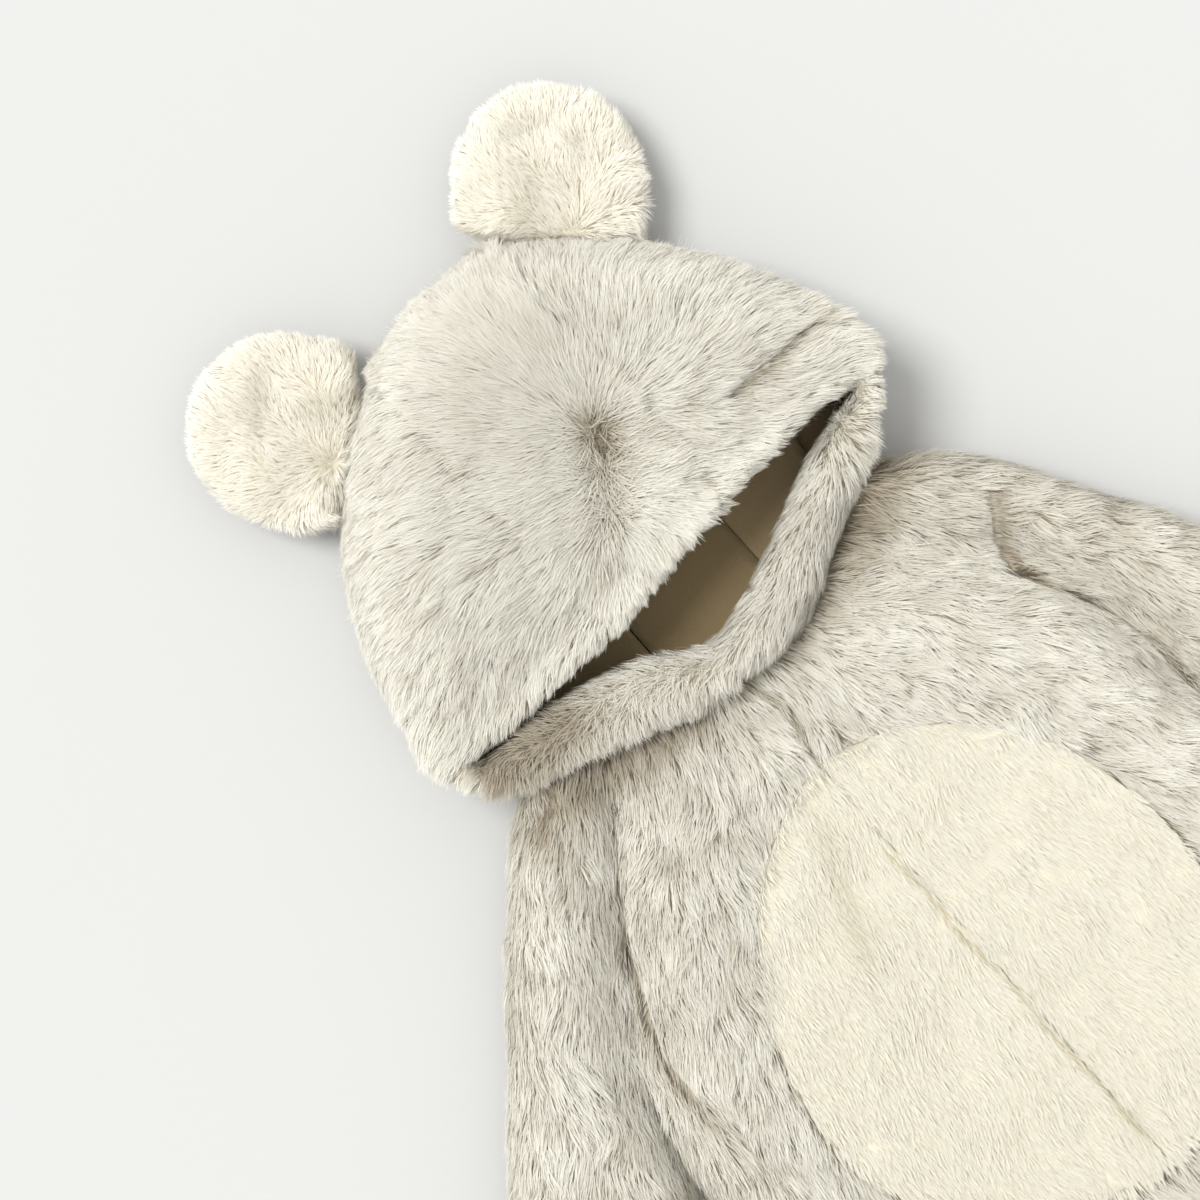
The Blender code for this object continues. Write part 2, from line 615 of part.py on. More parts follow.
def grid_mesh(name, grid, keep, flip):
    """A quad sheet over the grid's points, leaving out the cells that keep() refuses."""
    rows, columns = grid.shape[:2]
    mesh = bpy.data.meshes.new(name)
    every = [(row, column) for row in range(rows - 1) for column in range(columns - 1)]
    cells = [cell for cell in every if keep(*cell)]
    corners = [[(r, c), (r + 1, c), (r + 1, c + 1), (r, c + 1)] for r, c in cells]
    used = sorted({corner for cell in corners for corner in cell})
    index = {corner: number for number, corner in enumerate(used)}
    faces = [[index[corner] for corner in (reversed(cell) if flip else cell)] for cell in corners]
    mesh.from_pydata([grid[corner] * MM for corner in used], [], faces)
    mesh.validate()
    return mesh, index


def make_object(name, mesh, collection, material):
    thing = bpy.data.objects.new(name, mesh)
    collection.objects.link(thing)
    mesh.materials.append(material)
    return thing


def every_cell(row, column):
    return True


def cloth_sheet(
    name, grid, wall, collection, material, edge_normals, keep=every_cell, flip=False, thinning=None
):
    """A sheet of cloth: the grid is its outer face and Solidify gives it its wall.

    edge_normals are those that a seam shares, and thinning is each column's share of the wall.
    """
    mesh, index = grid_mesh(name, grid, keep, flip)
    thing = make_object(name, mesh, collection, material)
    count = len(mesh.vertices)
    shares = thinning or [1.0] * grid.shape[1]
    group = thing.vertex_groups.new(name="wall")
    for (row, column), number in index.items():
        group.add([number], shares[column], "REPLACE")
    solidify = thing.modifiers.new("wall", "SOLIDIFY")
    solidify.thickness = wall * MM
    solidify.offset = -1.0
    solidify.vertex_group = group.name
    bpy.context.view_layer.objects.active = thing
    bpy.ops.object.modifier_apply(modifier=solidify.name)
    first = thing.data.vertices[0].co
    start = np.array(sorted(index, key=index.get)[0])
    outer_first = np.linalg.norm(np.array(first) - grid[tuple(start)] * MM) < 1e-6
    for corner, normal in edge_normals.items():
        if corner not in index:
            continue
        number = index[corner] + (count if outer_first else 0)
        unit = np.array(normal) / np.linalg.norm(normal)
        thing.data.vertices[number].co = (grid[corner] - unit * wall * shares[corner[1]]) * MM
    return thing


def build_body(side, collection, materials):
    """A front, its half of the patch, which lies on it, and the back."""
    front = front_grid(side)
    back = back_grid(side)
    flip = side == "right"
    front_normals = open_edge_normals(front, SIDES[side]) | body_edge_normals(side, front)
    fur = materials["fur"]
    cloth_sheet("front_" + side, front, BODY_WALL, collection, fur, front_normals, flip=flip)
    back_normals = {}
    for (row, column), normal in body_edge_normals(side, back).items():
        turned = -1.0 if row < UNDERARM_ROW or (column == 0 and row < CROTCH_ROW) else 1.0
        back_normals[(row, column)] = tuple(turned * value for value in normal)
    cloth_sheet("back_" + side, back, BODY_WALL, collection, fur, back_normals, flip=not flip)
    patch = front[PATCH_TOP_ROW:PATCH_BOTTOM_ROW + 1, :PATCH_COLUMN + 1].copy()
    patch[:, :, 2] += PATCH_WALL + PATCH_LIFT
    rows, columns = patch.shape[:2]
    corners = [(row, column) for row in range(rows) for column in range(columns)]
    rim = [(r, c) for r, c in corners if r in (0, rows - 1) or c in (0, columns - 1)]
    upright = {corner: (0.0, 0.0, 1.0) for corner in rim}
    cloth_sheet("patch_" + side, patch, PATCH_WALL, collection, materials["patch"], upright, flip=flip)


def build_sleeve(side, collection, materials):
    grid = sleeve_grid(side)
    normals = open_edge_normals(grid, SIDES[side]) | sleeve_edge_normals(grid)
    flip = side == "right"
    cloth_sheet("sleeve_" + side, grid, BODY_WALL, collection, materials["fur"], normals, flip=flip)


def build_hood(collection, materials):
    """The hood's three panels; the side ones are cut in one with the cheek rolls."""
    grid = hood_grid()
    normals = grid_normals(grid)
    cheeks = len(CHEEK_COLUMNS["right"])
    last = grid.shape[1] - 1
    right_seam = cheeks + HOOD_RIGHT_SEAM
    left_seam = cheeks + HOOD_LEFT_SEAM
    half_gap = 0.5 * SEAM_GAP
    panels = (
        # name, first column, last column, how far each of the two is moved off its seam
        ("hood_right", 0, right_seam, -half_gap, -half_gap),
        ("hood_centre", right_seam, left_seam, half_gap, -half_gap),
        ("hood_left", left_seam, last, half_gap, half_gap),
    )
    for name, start, end, start_shift, end_shift in panels:
        piece = grid[:, start:end + 1].copy()
        piece[:, 0, 0] += start_shift
        piece[:, -1, 0] += end_shift
        shared = {}
        for row in range(grid.shape[0]):
            for column, whole_column in ((0, start), (end - start, end)):
                normal = normals[row, whole_column]
                shared[(row, column)] = (0.0, normal[1], normal[2])

        def keep(row, column, offset=start):
            wraps = cheeks <= column + offset < last - cheeks
            return wraps or row < CHEEK_ROWS - 1

        spans = np.linalg.norm(piece[CHEEK_ROWS - 2, :, :2] - piece[1, :, :2], axis=1)
        thinning = [min(1.0, CHEEK_WALL_SHARE * span / HOOD_WALL) for span in spans]
        cloth_sheet(name, piece, HOOD_WALL, collection, materials["fur"], shared, keep, True, thinning)


def build_linings(collection, materials):
    """The three lining sheets that show in the face opening."""
    for name, (near_a, near_b, far_a, far_b) in LININGS.items():
        rows = []
        for row in range(LINING_CELLS + 1):
            share = row / LINING_CELLS
            y = mix(LINING_FAR_Y, LINING_NEAR_Y, share)
            start_x = mix(far_a, near_a, share) + 0.5 * SEAM_GAP
            end_x = mix(far_b, near_b, share) - 0.5 * SEAM_GAP
            points = []
            for cell in range(LINING_CELLS + 1):
                x = mix(start_x, end_x, cell / LINING_CELLS)
                wave = LINING_WAVE * (1.0 + math.sin(x / LINING_WAVE_X + y / LINING_WAVE_Y))
                points.append((x, y, LINING_Z + wave))
            rows.append(points)
        grid = np.array(rows)
        upright = {}
        for row in range(grid.shape[0]):
            upright[(row, 0)] = (0.0, 0.0, 1.0)
            upright[(row, grid.shape[1] - 1)] = (0.0, 0.0, 1.0)
        cloth_sheet(name, grid, LINING_WALL, collection, materials["lining"], upright)


def build_ear_half(side, face, collection, material):
    """Half of a stuffed ear: half a sphere, flattened, cut at its base and creased."""
    ear = EARS[side]
    centre = np.array(ear["centre"])
    toward_base = np.array(ear["base"]) - centre
    toward_base /= np.linalg.norm(toward_base)
    up = face == "front"
    puff = EAR_FRONT_PUFF if up else EAR_BACK_PUFF
    mesh = bpy.data.meshes.new("ear_" + face + "_" + side)
    shape = bmesh.new()
    bmesh.ops.create_uvsphere(shape, u_segments=EAR_SEGMENTS, v_segments=EAR_RINGS, radius=1.0)
    cut = bmesh.ops.bisect_plane(
        shape,
        geom=shape.verts[:] + shape.edges[:] + shape.faces[:],
        plane_co=(0.0, 0.0, 0.0),
        plane_no=(0.0, 0.0, -1.0 if up else 1.0),
        clear_outer=True,
        dist=1e-5,
    )
    rim = [item for item in cut["geom_cut"] if isinstance(item, bmesh.types.BMEdge)]
    bmesh.ops.edgeloop_fill(shape, edges=rim)
    level = EAR_MID_Z + (0.5 * SEAM_GAP if up else -0.5 * SEAM_GAP)
    for vertex in shape.verts:
        flat = np.array((vertex.co.x, vertex.co.y))
        reach = float(np.linalg.norm(flat))
        flat = flat * EAR_RADIUS
        depth = float(flat @ toward_base)
        if depth > 0.0:
            kept = ear["cut"] * math.tanh(EAR_CUT_SLOPE * depth / ear["cut"])
            spread = 1.0 + EAR_BASE_SPREAD * (depth / EAR_RADIUS) ** 2
            flat = (flat - toward_base * depth) * spread + toward_base * kept
        height = abs(vertex.co.z) ** EAR_SIDE_POWER * puff
        if up and reach < EAR_CREASE_EDGE:
            across = float(flat @ np.array((-toward_base[1], toward_base[0])))
            height -= EAR_CREASE_DEPTH * math.exp(-(across / EAR_CREASE_WIDTH) ** 2) * (1.0 - reach)
        place = centre + flat
        vertex.co = (place[0] * MM, place[1] * MM, (level + (height if up else -height)) * MM)
    bmesh.ops.recalc_face_normals(shape, faces=shape.faces)
    shape.to_mesh(mesh)
    shape.free()
    return make_object(mesh.name, mesh, collection, material)


def centre_on_floor(things):
    """Move every piece so that the origin lies under the middle of the suit."""
    corners = np.array([vertex.co for thing in things for vertex in thing.data.vertices])
    low = corners.min(axis=0)
    high = corners.max(axis=0)
    shift = np.array((-(low[0] + high[0]) / 2.0, -(low[1] + high[1]) / 2.0, -low[2]))
    for thing in things:
        for vertex in thing.data.vertices:
            vertex.co = np.array(vertex.co) + shift
    print("moved by", [round(float(value) / MM, 3) for value in shift], "mm")


def main():
    clear_scene()
    collection = bpy.data.collections.new(SUIT_NAME)
    bpy.context.scene.collection.children.link(collection)
    materials = {
        "fur": cloth_material("grey_plush", "#d3cdbd", 0.95),
        "patch": cloth_material("cream_plush", "#f1ecda", 0.95),
        "lining": cloth_material("taupe_lining", "#6e6049", 0.9),
        "ear": cloth_material("ear_plush", "#f3eedf", 0.95),
    }
    build_hood(collection, materials)
    build_linings(collection, materials)
    for side in SIDES:
        build_ear_half(side, "front", collection, materials["ear"])
        build_ear_half(side, "back", collection, materials["fur"])
        build_body(side, collection, materials)
        build_sleeve(side, collection, materials)
    centre_on_floor(list(collection.objects))


main()
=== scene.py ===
"""Looks of the hooded sleepsuit: plush shells with their fur, padded ears, velour lining, studio.

Sizes in the tables are in millimetres from the front neck point, with +X to the wearer's left
and +Y to the head, as the garment lies.
"""

import math
from functools import partial

import bmesh
import bpy
import numpy as np
from bpy.props import FloatProperty, IntProperty, PointerProperty, StringProperty
from mathutils import Matrix, Vector
from mathutils.bvhtree import BVHTree


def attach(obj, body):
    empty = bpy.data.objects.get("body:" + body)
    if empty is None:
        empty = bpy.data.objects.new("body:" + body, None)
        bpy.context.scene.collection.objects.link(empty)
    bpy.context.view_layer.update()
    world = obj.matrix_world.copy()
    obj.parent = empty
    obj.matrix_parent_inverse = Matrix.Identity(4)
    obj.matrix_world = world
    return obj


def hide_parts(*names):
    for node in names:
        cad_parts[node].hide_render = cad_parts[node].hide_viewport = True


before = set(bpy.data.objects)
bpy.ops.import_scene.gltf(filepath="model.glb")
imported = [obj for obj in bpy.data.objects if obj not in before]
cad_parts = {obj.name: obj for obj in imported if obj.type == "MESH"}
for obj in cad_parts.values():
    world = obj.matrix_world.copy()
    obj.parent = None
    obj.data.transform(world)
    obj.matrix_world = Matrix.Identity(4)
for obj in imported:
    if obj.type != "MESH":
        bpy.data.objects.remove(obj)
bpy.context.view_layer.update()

bl_info = {
    "name": "Hooded Plush Sleepsuit",
    "version": (1, 0, 0),
    "blender": (4, 5, 0),
    "location": "View3D > Sidebar > Sleepsuit",
    "description": "Plush shells with fur, padded ears, velour lining and a studio",
    "category": "Object",
}

MM = 0.001
# The front neck point in the frame.
NECK_POINT = np.array((21.5, 130.775))
# The name of the strands' map, which carries their tone and their place from root to tip.
# A map of this name stays as it is when materials are baked.
PATTERN_MAP = "OFBake"
BODY = "root"
SHARP_EDGE = math.radians(50.0)
UP = np.array((0.0, 0.0, 1.0))
TINY = 1e-9
SIGNS = {"left": 1.0, "right": -1.0}

# The main creases of the plush, as soft troughs: ends, depth and half width.
BODY_CREASES = (
    # from_x, from_y, to_x, to_y, depth, half_width
    (134, -14, 124, -30, 4, 6),
    (124, -30, 121, -46, 5, 6),
    (121, -46, 133, -66, 4.5, 6),
    (133, -66, 138, -92, 4.5, 7),
    (138, -92, 140, -128, 4, 8),
    (90, -58, 101, -98, 1.8, 7),
    (60, -22, 74, -60, 1.5, 8),
    (28, -14, 22, -52, 1.6, 6),
    (-30, -16, -34, -58, 2, 7),
    (-60, -14, -78, -62, 2.2, 7),
    (-92, 15, -106, 6, 2.5, 5),
    (-73, -2, -109, -46, 3.5, 6),
    (-109, -46, -136, -107, 4, 7),
    (-136, -107, -136, -131, 3.5, 7),
    (-136, -131, -124, -177, 2.5, 8),
    (-122, -110, -128, -160, 1.8, 9),
    (-62, -352, -86, -380, 2.5, 9),
    (58, -350, 88, -384, 2.2, 8),
    (100, -420, 128, -432, 1.8, 9),
    (-96, -446, -132, -452, 2, 8),
    (-120, -300, -128, -352, 1.8, 10),
    (118, -262, 124, -318, 1.6, 10),
)
PATCH_CREASES = (
    (-18, -75, -36, -115, 1, 6),
    (-2.4, -97, -1, -264, 1, 2.6),
    (38, -150, 30, -226, 0.8, 9),
    (-60, -170, -52, -232, 0.7, 8),
)
SLEEVE_CREASES = (
    (182, -120, 214, -138, 2.4, 8),
    (226, -196, 250, -190, 2, 8),
    (250, -250, 262, -262, 1.8, 7),
    (-190, -128, -214, -150, 2.6, 8),
    (-236, -196, -262, -186, 2, 8),
    (-282, -244, -300, -252, 1.8, 7),
)
HOOD_CREASES = (
    (21, 117, 6, 88, 2.2, 5),
    (6, 88, -8, 72, 1.4, 6),
    (30, 100, 46, 84, 1.2, 7),
    (-40, 80, -96, 70, 1.4, 6),
    (72, 91, 123, 90, 2.2, 5),
    (-30, 66, -66, 63, 1.4, 6),
    (84, 124, 118, 112, 1, 9),
    (-70, 132, -96, 120, 1, 9),
)
EAR_CREASES = (
    (80, 238, 97, 230, 2.2, 5),
    (102, 214, 82, 203, 1, 6),
    (-71, 228, -88, 208, 1.8, 4),
    (-58, 188, -76, 172, 2, 4),
)
# How soon a slope takes the whole crease, and the slight swell of the cloth.
PRESS_SLOPE = 1.5
SWELL_LENGTH = 34.0
SWELL = 0.5
# The most that each kind of panel is sunk.
MOST_HOOD = 4.6
MOST_BODY = 5.6
MOST_PATCH = 3.6
MOST_EAR = 6.0
# This near another piece cloth sinks straight down, turning so fast, and an ear sinks less.
SEAM_REACH = 6.0
SEAM_TURN = 1.6
SEAM_EAR = 0.9

# The parting on the crown that the hood's fur runs out from: its ends, how far roots stray
# across it, and how much and how near it strands stand up.
WHORL = np.array(((21.5, 118.0), (3.0, 85.0)))
WHORL_STRAY = 3.0
WHORL_LIFT = 0.5
WHORL_REACH = 7.0
# On the wearer's right the hood's pile leans this way, from here on and over this width.
LEAN_FROM = 20.0
LEAN_OVER = 60.0
LEAN = np.array((-0.25, -0.28))
# Toward the rim the pile turns down, and at the rim it is shorter.
RIM_TURN_FROM = 84.0
RIM_TURN_OVER = 34.0
RIM_LEAN = -0.5
RIM_DOWN = -0.85
RIM_SHORT_OVER = 18.0
RIM_SHORTER = 0.45
# A stretch of the crown whose fur lies flat and even: its centre, radius and strength.
CALM_CENTRE = np.array((16.0, 160.0))
CALM_RADIUS = 44.0
CALM_SHARE = 0.6
CALM_DARKER = 0.34
# The cheek rolls: out from the centre, y of the edge at the face and at the neck crease; the
# share of the way up at which the pile parts, and its way along X, across and down the roll.
CHEEK_ROLLS = {
    "left": (
        (0, 9, 22, 39, 57, 75, 91, 104, 113),
        (13, 15, 18, 25.5, 33, 42, 49, 52, 54),
        (-3, -4, -3, 1, 8, 19, 27, 32, 36),
        0.72, -0.9, 0.5, 0.33,
    ),
    "right": (
        (0, 7, 21, 39, 58, 77, 92, 102, 113),
        (13, 17, 27, 34, 38, 40, 41, 42, 43.5),
        (-3, -2, 0, 5, 12, 17, 21, 24, 27.5),
        0.58, -0.4, 1.0, 0.0,
    ),
}
# Over this stretch out from the centre a roll's pile turns into the hood's, bending down.
ROLL_TURN = 86.0
ROLL_END = 112.0
ROLL_BOW = np.array((0.0, -2.4))
# What counts as a roll: the share of its width, its height over the floor, its least width.
ROLL_TOP = 1.12
ROLL_HEIGHT = 20.0
ROLL_LEAST = 4.0
# How unevenly and sharply its pile parts, and how light, long and raised it is.
ROLL_STRAY = 0.2
ROLL_SHARP = 4.0
ROLL_TONE = -0.10
ROLL_LENGTH = 0.86
ROLL_LIFT = 0.55
# The rim of the hood over the face: x and y.
RIM_LINE = (
    (-110, -88, -58, -23, 9, 41, 68, 97, 119),
    (46, 44.5, 45, 46.5, 52, 55.5, 58.5, 60, 57.5),
)
RIM_OVERHANG = 1.0
# Waves of the tips' line over the face: size, length and seed.
RIM_WAVES = ((1.3, 17.0, 71), (2.9, 6.0, 72))
# The cheeks' strands reach so far past their edge, and farther from this far out on.
CHEEK_OVERHANG = 3.0
CHEEK_FAR_OVERHANG = 16.0
CHEEK_FAR_FROM = 45.0
CHEEK_FAR_OVER = 35.0
CHEEK_WAVES = 1.5
CHEEK_BAND = 3.0
# The least run of a strand, and the least share of it that stays.
LEAST_RUN = 0.5
LEAST_RIM_SHARE = 0.3
# Where the pile parts and its roots show, with painted shade along the creases and troughs: ends, how
# much darker, half width.
# One as dark as STOP_DARKER also stops the strands that would cross it.
STOP_DARKER = 0.34
PARTINGS_AND_CREASE_SHADE = (
    # from_x, from_y, to_x, to_y, darker, half_width
    (23, 117, 17, 106, 0.95, 4.2),
    (16, 104, 8, 94, 0.28, 5),
    (8, 94, -8, 78, 0.12, 6),
    (30, 104, 46, 92, 0.14, 8),
    (46, 104, 56, 101, 0.28, 3),
    (72, 91, 123, 90.5, 0.4, 3),
    (31, 193, 39, 192, 0.26, 2),
    (48, 144, 57, 141, 0.2, 2.4),
    (-31, 141, -22, 140, 0.24, 2.2),
    (-53, 107, -43, 105, 0.3, 2.2),
    (-78, 107, -67, 105, 0.28, 2.2),
    (-71, 74.5, -58, 72.5, 0.3, 2.6),
    (-101, 73, -87, 71, 0.32, 2.4),
    (-104, 96, -95, 94, 0.28, 2),
    (-17, 75, -6, 73, 0.32, 2.6),
    (0, 61, 8, 60, 0.26, 2.2),
    (134, -14, 122, -34, 0.45, 3),
    (122, -34, 120, -50, 0.7, 3),
    (120, -50, 130, -70, 0.6, 3),
    (130, -70, 138, -79, 0.45, 3),
    (138, -79, 145, -111, 0.36, 3.5),
    (145, -111, 145, -140, 0.34, 3.5),
    (-92, 15, -106, 6, 0.4, 3),
    (-73, -2, -92, -25, 0.36, 2.6),
    (-92, -25, -109, -46, 0.36, 2.6),
    (-109, -46, -116, -60, 0.4, 3),
    (-116, -60, -136, -107, 0.44, 3.2),
    (-136, -107, -136, -131, 0.36, 3),
    (-136, -131, -124, -177, 0.3, 3),
    (-1, -3, 7, -26, 0.36, 2.6),
    (7, -26, 2, -41, 0.4, 2.6),
    (2, -41, 0, -55, 0.34, 2.6),
    (-18, -75, -40, -125, 0.3, 6),
    (-2.4, -97, -1, -264, 0.75, 1.2),
    (-1.8, -140, -1.6, -148, 0.35, 2.8),
    (-1.2, -247, -1, -256, 0.35, 2.8),
)
# The same, as painted shade with the darker roots of parted pile: under the cheek rolls on the body and
# sleeves alone, and on the rolls' inner side under the rim.
SHADE_UNDER_CHEEKS = (
    (101, 31, 85, 20, 0.8, 14),
    (85, 20, 57, 8, 0.8, 14),
    (57, 8, 42, 1, 0.6, 11),
    (42, 1, 18, -7, 0.35, 5),
    (-22, -3, -40, 2, 0.6, 6),
    (-40, 2, -63, 6, 0.75, 8),
    (-63, 6, -92, 13, 0.8, 9),
    (-92, 13, -105, 5, 0.6, 9),
)
SHADE_INSIDE_CHEEKS = (
    (-52, 34, -66, 33, 0.5, 5),
    (-66, 32, -80, 34, 1.1, 8),
    (-80, 34, -104, 38, 1.1, 9),
)
# Small marks where locks part, one in each square of this side, in this share of the squares: the mark's
# size along the flow and across it, its bend, how much painted shade darkens its pile where the
# neighbouring locks shadow it, and how much shorter that pile is.
MARK_SQUARE = 27.0
MARK_SHARE = 0.55
MARK_LONG = 2.2
MARK_WIDE = 6.5
MARK_BEND = 0.05
MARK_PAINTED_SHADE = 0.26
MARK_SHORTER = 0.3

# A strand bends at this share of its length, and sways before and after it.
BEND = 0.46
SWAYS = (0.10, 0.14)
# Width of a lock, and how much painted shade darkens its edge, where the neighbouring locks shadow it.
LOCK = 15.0
LOCK_EDGE_SHADE = 0.24
# What turns and what shades strands: two waves by length and size, then the spread of the
# random part of each clump, lock and strand.
TURNS = ((62.0, 0.26), (22.0, 0.20), (0.12, 0.16, 0.10))
SHADES = ((85.0, 0.04), (26.0, 0.06), (0.07, 0.06, 0.07))
CALM_TURN = 0.35
# Ranges of the lengths of strands and clumps, of the share kept at a stop, pull and width.
STRAND_LENGTHS = (0.72, 1.08)
CLUMP_LENGTHS = (0.9, 1.1)
STOP_LENGTHS = (0.85, 1.1)
PULLS = (0.5, 1.25)
WIDTHS = (0.7, 1.3)
# The least share kept, the most pull, and the bend's share of the pull.
LEAST_SHARE = 0.2
MOST_PULL = 0.92
BEND_PULL = 0.35
# Spread of the angles of clumps and of strands, at the root and at the tip, and of the twist.
RISES = (0.07, 0.08)
LIES = (0.05, 0.06)
TWIST = 0.16
# How much strands hang on steep cloth, and rise on an underside.
HANG = 0.35
UNDER_RISE = 0.15
# How deep roots lie in the cloth, and how far all stays over the floor.
ROOT_DEPTH = 0.4
FLOOR_GAP = 0.25
# The range of the tones, and how much they differ across a strand.
TONES = (0.02, 0.98)
TONE_EDGE = 0.012
# Numbers that scatter the centres of clumps and marks.
HASHES = (73856093, 19349663, 2654435, 40503)
HASH_STEPS = 1024

# The body's pile fans out toward its sides, more so near the neck.
FAN_HALF = 120.0
FAN_NECK = 110.0
FAN = 0.42
FAN_MORE = 0.75
BODY_DOWN = -0.85
# How near the patch the fur round it rises, and how much; the patch's own fanning.
PATCH_REACH = 11.0
PATCH_LIFT = 0.45
PATCH_FAN = 420.0
# The sleeves' pile: its way outwards and down, and the painted light that makes the right sleeve, on the
# key light's side, lighter than the left.
SLEEVE_WAY = (0.62, -0.78)
SLEEVE_PAINTED_LIGHT = {"left": 0.0, "right": 0.16}
# The ears' pile: its way, the width over which it fans out, and how tousled it is, in waves.
EAR_CENTRES = {"left": (82.0, 216.0), "right": (-79.0, 211.0)}
EAR_WAY = (0.25, 0.9)
EAR_FAN = 30.0
EAR_TOUSLE = 0.45
EAR_WAVES = 24.0
# Each ear's outer corner at the hood, how far round it the pile turns to it and is longer.
EAR_CORNERS = {"left": (96.0, 171.0), "right": (-88.0, 164.0)}
EAR_CORNER_REACH = 17.0
EAR_CORNER_TURN = 1.2
EAR_CORNER_LONGER = 0.7
# The slope down to which an ear's faces carry pile.
EAR_DOME = -0.35
# The least share of a sheet's area on its outer side, and on an edge with pile.
OUTER_SHARE = 0.2
EDGE_SHARE = 0.012
# What the camera sees, in which fur is densest.
SEEN_FROM = np.array((-24.0, 62.0))
SEEN_HALF = 380.0
# The share of strands outside that view, and on faces that look down this far.
UNSEEN_SHARE = 0.55
UNDERSIDE = -0.4
UNDERSIDE_SHARE = 0.22
# A root under another piece gets no strand: the search's start, reach, tilt and rounds.
COVER_START = 2.5
COVER_REACH = 7.0
COVER_TILT = (4.0, 2.0)
ROUNDS = 6

# The studio: floor, the picture's middle and upward way, lens, and the key light's place from
# that middle: to the right, up the picture and above.
FLOOR_SIDE = 8.0
FLOOR_HEIGHT = -0.0005
PICTURE_MIDDLE = Vector((-0.0025, 0.1928, 0.0))
PICTURE_UP = Vector((0.6626, 0.749, 0.0)).normalized()
LENS = 85.0
SENSOR = 36.0
KEY_PLACE = (-0.9, 0.3, 1.4)

# Colours as sRGB hex values: piles at the root, along the strand and at the tip, and others.
COLOURS = {
    "grey_root": "cfc8b6", "grey_body": "e8e6dc", "grey_tip": "f4f2eb",
    "cream_root": "efe9da", "cream_body": "f8f5ec", "cream_tip": "fbf9f2",
    "patch_root": "dfd9c8", "patch_body": "e9e6da", "patch_tip": "f1efe6",
    "grey_ground": "aba290", "cream_ground": "d2ccb9", "patch_ground": "ccc6b3",
    "lining": "8a7858", "lining_side": "9a8766", "floor": "bcbcba",
}
# The darkest strands, where the pile parts and where painted shade falls, at the root, the middle and the
# tip.
GREY_PARTED_AND_SHADED = ("675540", "b0a590", "d4cdbd")
CREAM_PARTED_AND_SHADED = ("a8997a", "cfc7ad", "ded7c2")
# The middle colour's place along a strand, and how much light goes through.
MIDDLE_AT = 0.42
THROUGH = 0.45
PILES = {
    # name: its darkest strands, the settings of its lightest, roughness, sheen
    # Brushed polyester pile: dark taupe at the root, nearly white at the tip, soft gloss.
    "grey_faux_fur_pile": (GREY_PARTED_AND_SHADED, "grey", 0.62, 0.15),
    # The same pile undyed and cut shorter: creamy, even, a little glossier.
    "cream_faux_fur_pile": (CREAM_PARTED_AND_SHADED, "cream", 0.60, 0.15),
    # Cream pile cut short and pressed flat, so it looks denser, duller and a little darker.
    "short_cream_faux_fur_pile": (CREAM_PARTED_AND_SHADED, "patch", 0.65, 0.10),
}
KNITS = {
    # name: its colour's setting, roughness, width of its grain and depth of its bumps
    # Warp-knitted ground of the plush, seen only between the strands: matt taupe, darkened as painted
    # shade of the pile over it.
    "grey_knitted_ground": ("grey_ground", 0.90, 1.2, 0.30),
    # The same ground in cream.
    "cream_knitted_ground": ("cream_ground", 0.90, 1.2, 0.30),
    # The patch's ground, as dark as its short pile, darkened as painted shade of the pile over it.
    "patch_knitted_ground": ("patch_ground", 0.90, 1.2, 0.30),
    # Velour knit: short cut pile that looks dull and soft, with a fine grain.
    "taupe_velour_lining": ("lining", 0.85, 0.7, 0.25),
    # The same velour made lighter: painted light where the lining by the left cheek catches the light.
    "taupe_velour_painted_light": ("lining_side", 0.85, 0.7, 0.25),
}
# The darkest and lightest tone of a knit's grain.
GRAIN_TONES = (0.82, 1.15)
# Kinds of plush: pile, ground and slot.
GREY = ("grey_faux_fur_pile", "grey_knitted_ground", "grey_plush")
CREAM = ("cream_faux_fur_pile", "cream_knitted_ground", "cream_plush")
SHORT_CREAM = ("short_cream_faux_fur_pile", "patch_knitted_ground", "cream_plush")

FUR_FIELDS = (
    # key, description, subtype
    ("length", "Length of the pile in millimetres", "NONE"),
    ("width", "Width of a strand in millimetres", "NONE"),
    ("rise", "Angle at which a strand leaves the cloth", "ANGLE"),
    ("lie", "Angle at which a strand's tip lies", "ANGLE"),
    ("clump", "Width of a clump in millimetres", "NONE"),
    ("pull", "How far the tips of a clump draw together", "FACTOR"),
    ("variety", "How much the strands and locks differ from each other", "NONE"),
    ("tone", "How light the pile is, from 0 to 1", "FACTOR"),
)
CLOTH_FIELDS = (
    ("plush_depth", "Depth of the plush's ground under its pile, in mm", "NONE"),
    ("patch_depth", "The same for the belly patch", "NONE"),
    ("ear_depth", "The same for the ears", "NONE"),
)
STAGE_FIELDS = (
    ("camera_height", "Height of the camera over the floor", "DISTANCE"),
    ("key_light", "Strength of the soft key light", "NONE"),
    ("key_size", "Angle that the key light spans, which softens shadows", "ANGLE"),
    ("sky", "Strength of the even light all round", "NONE"),
)
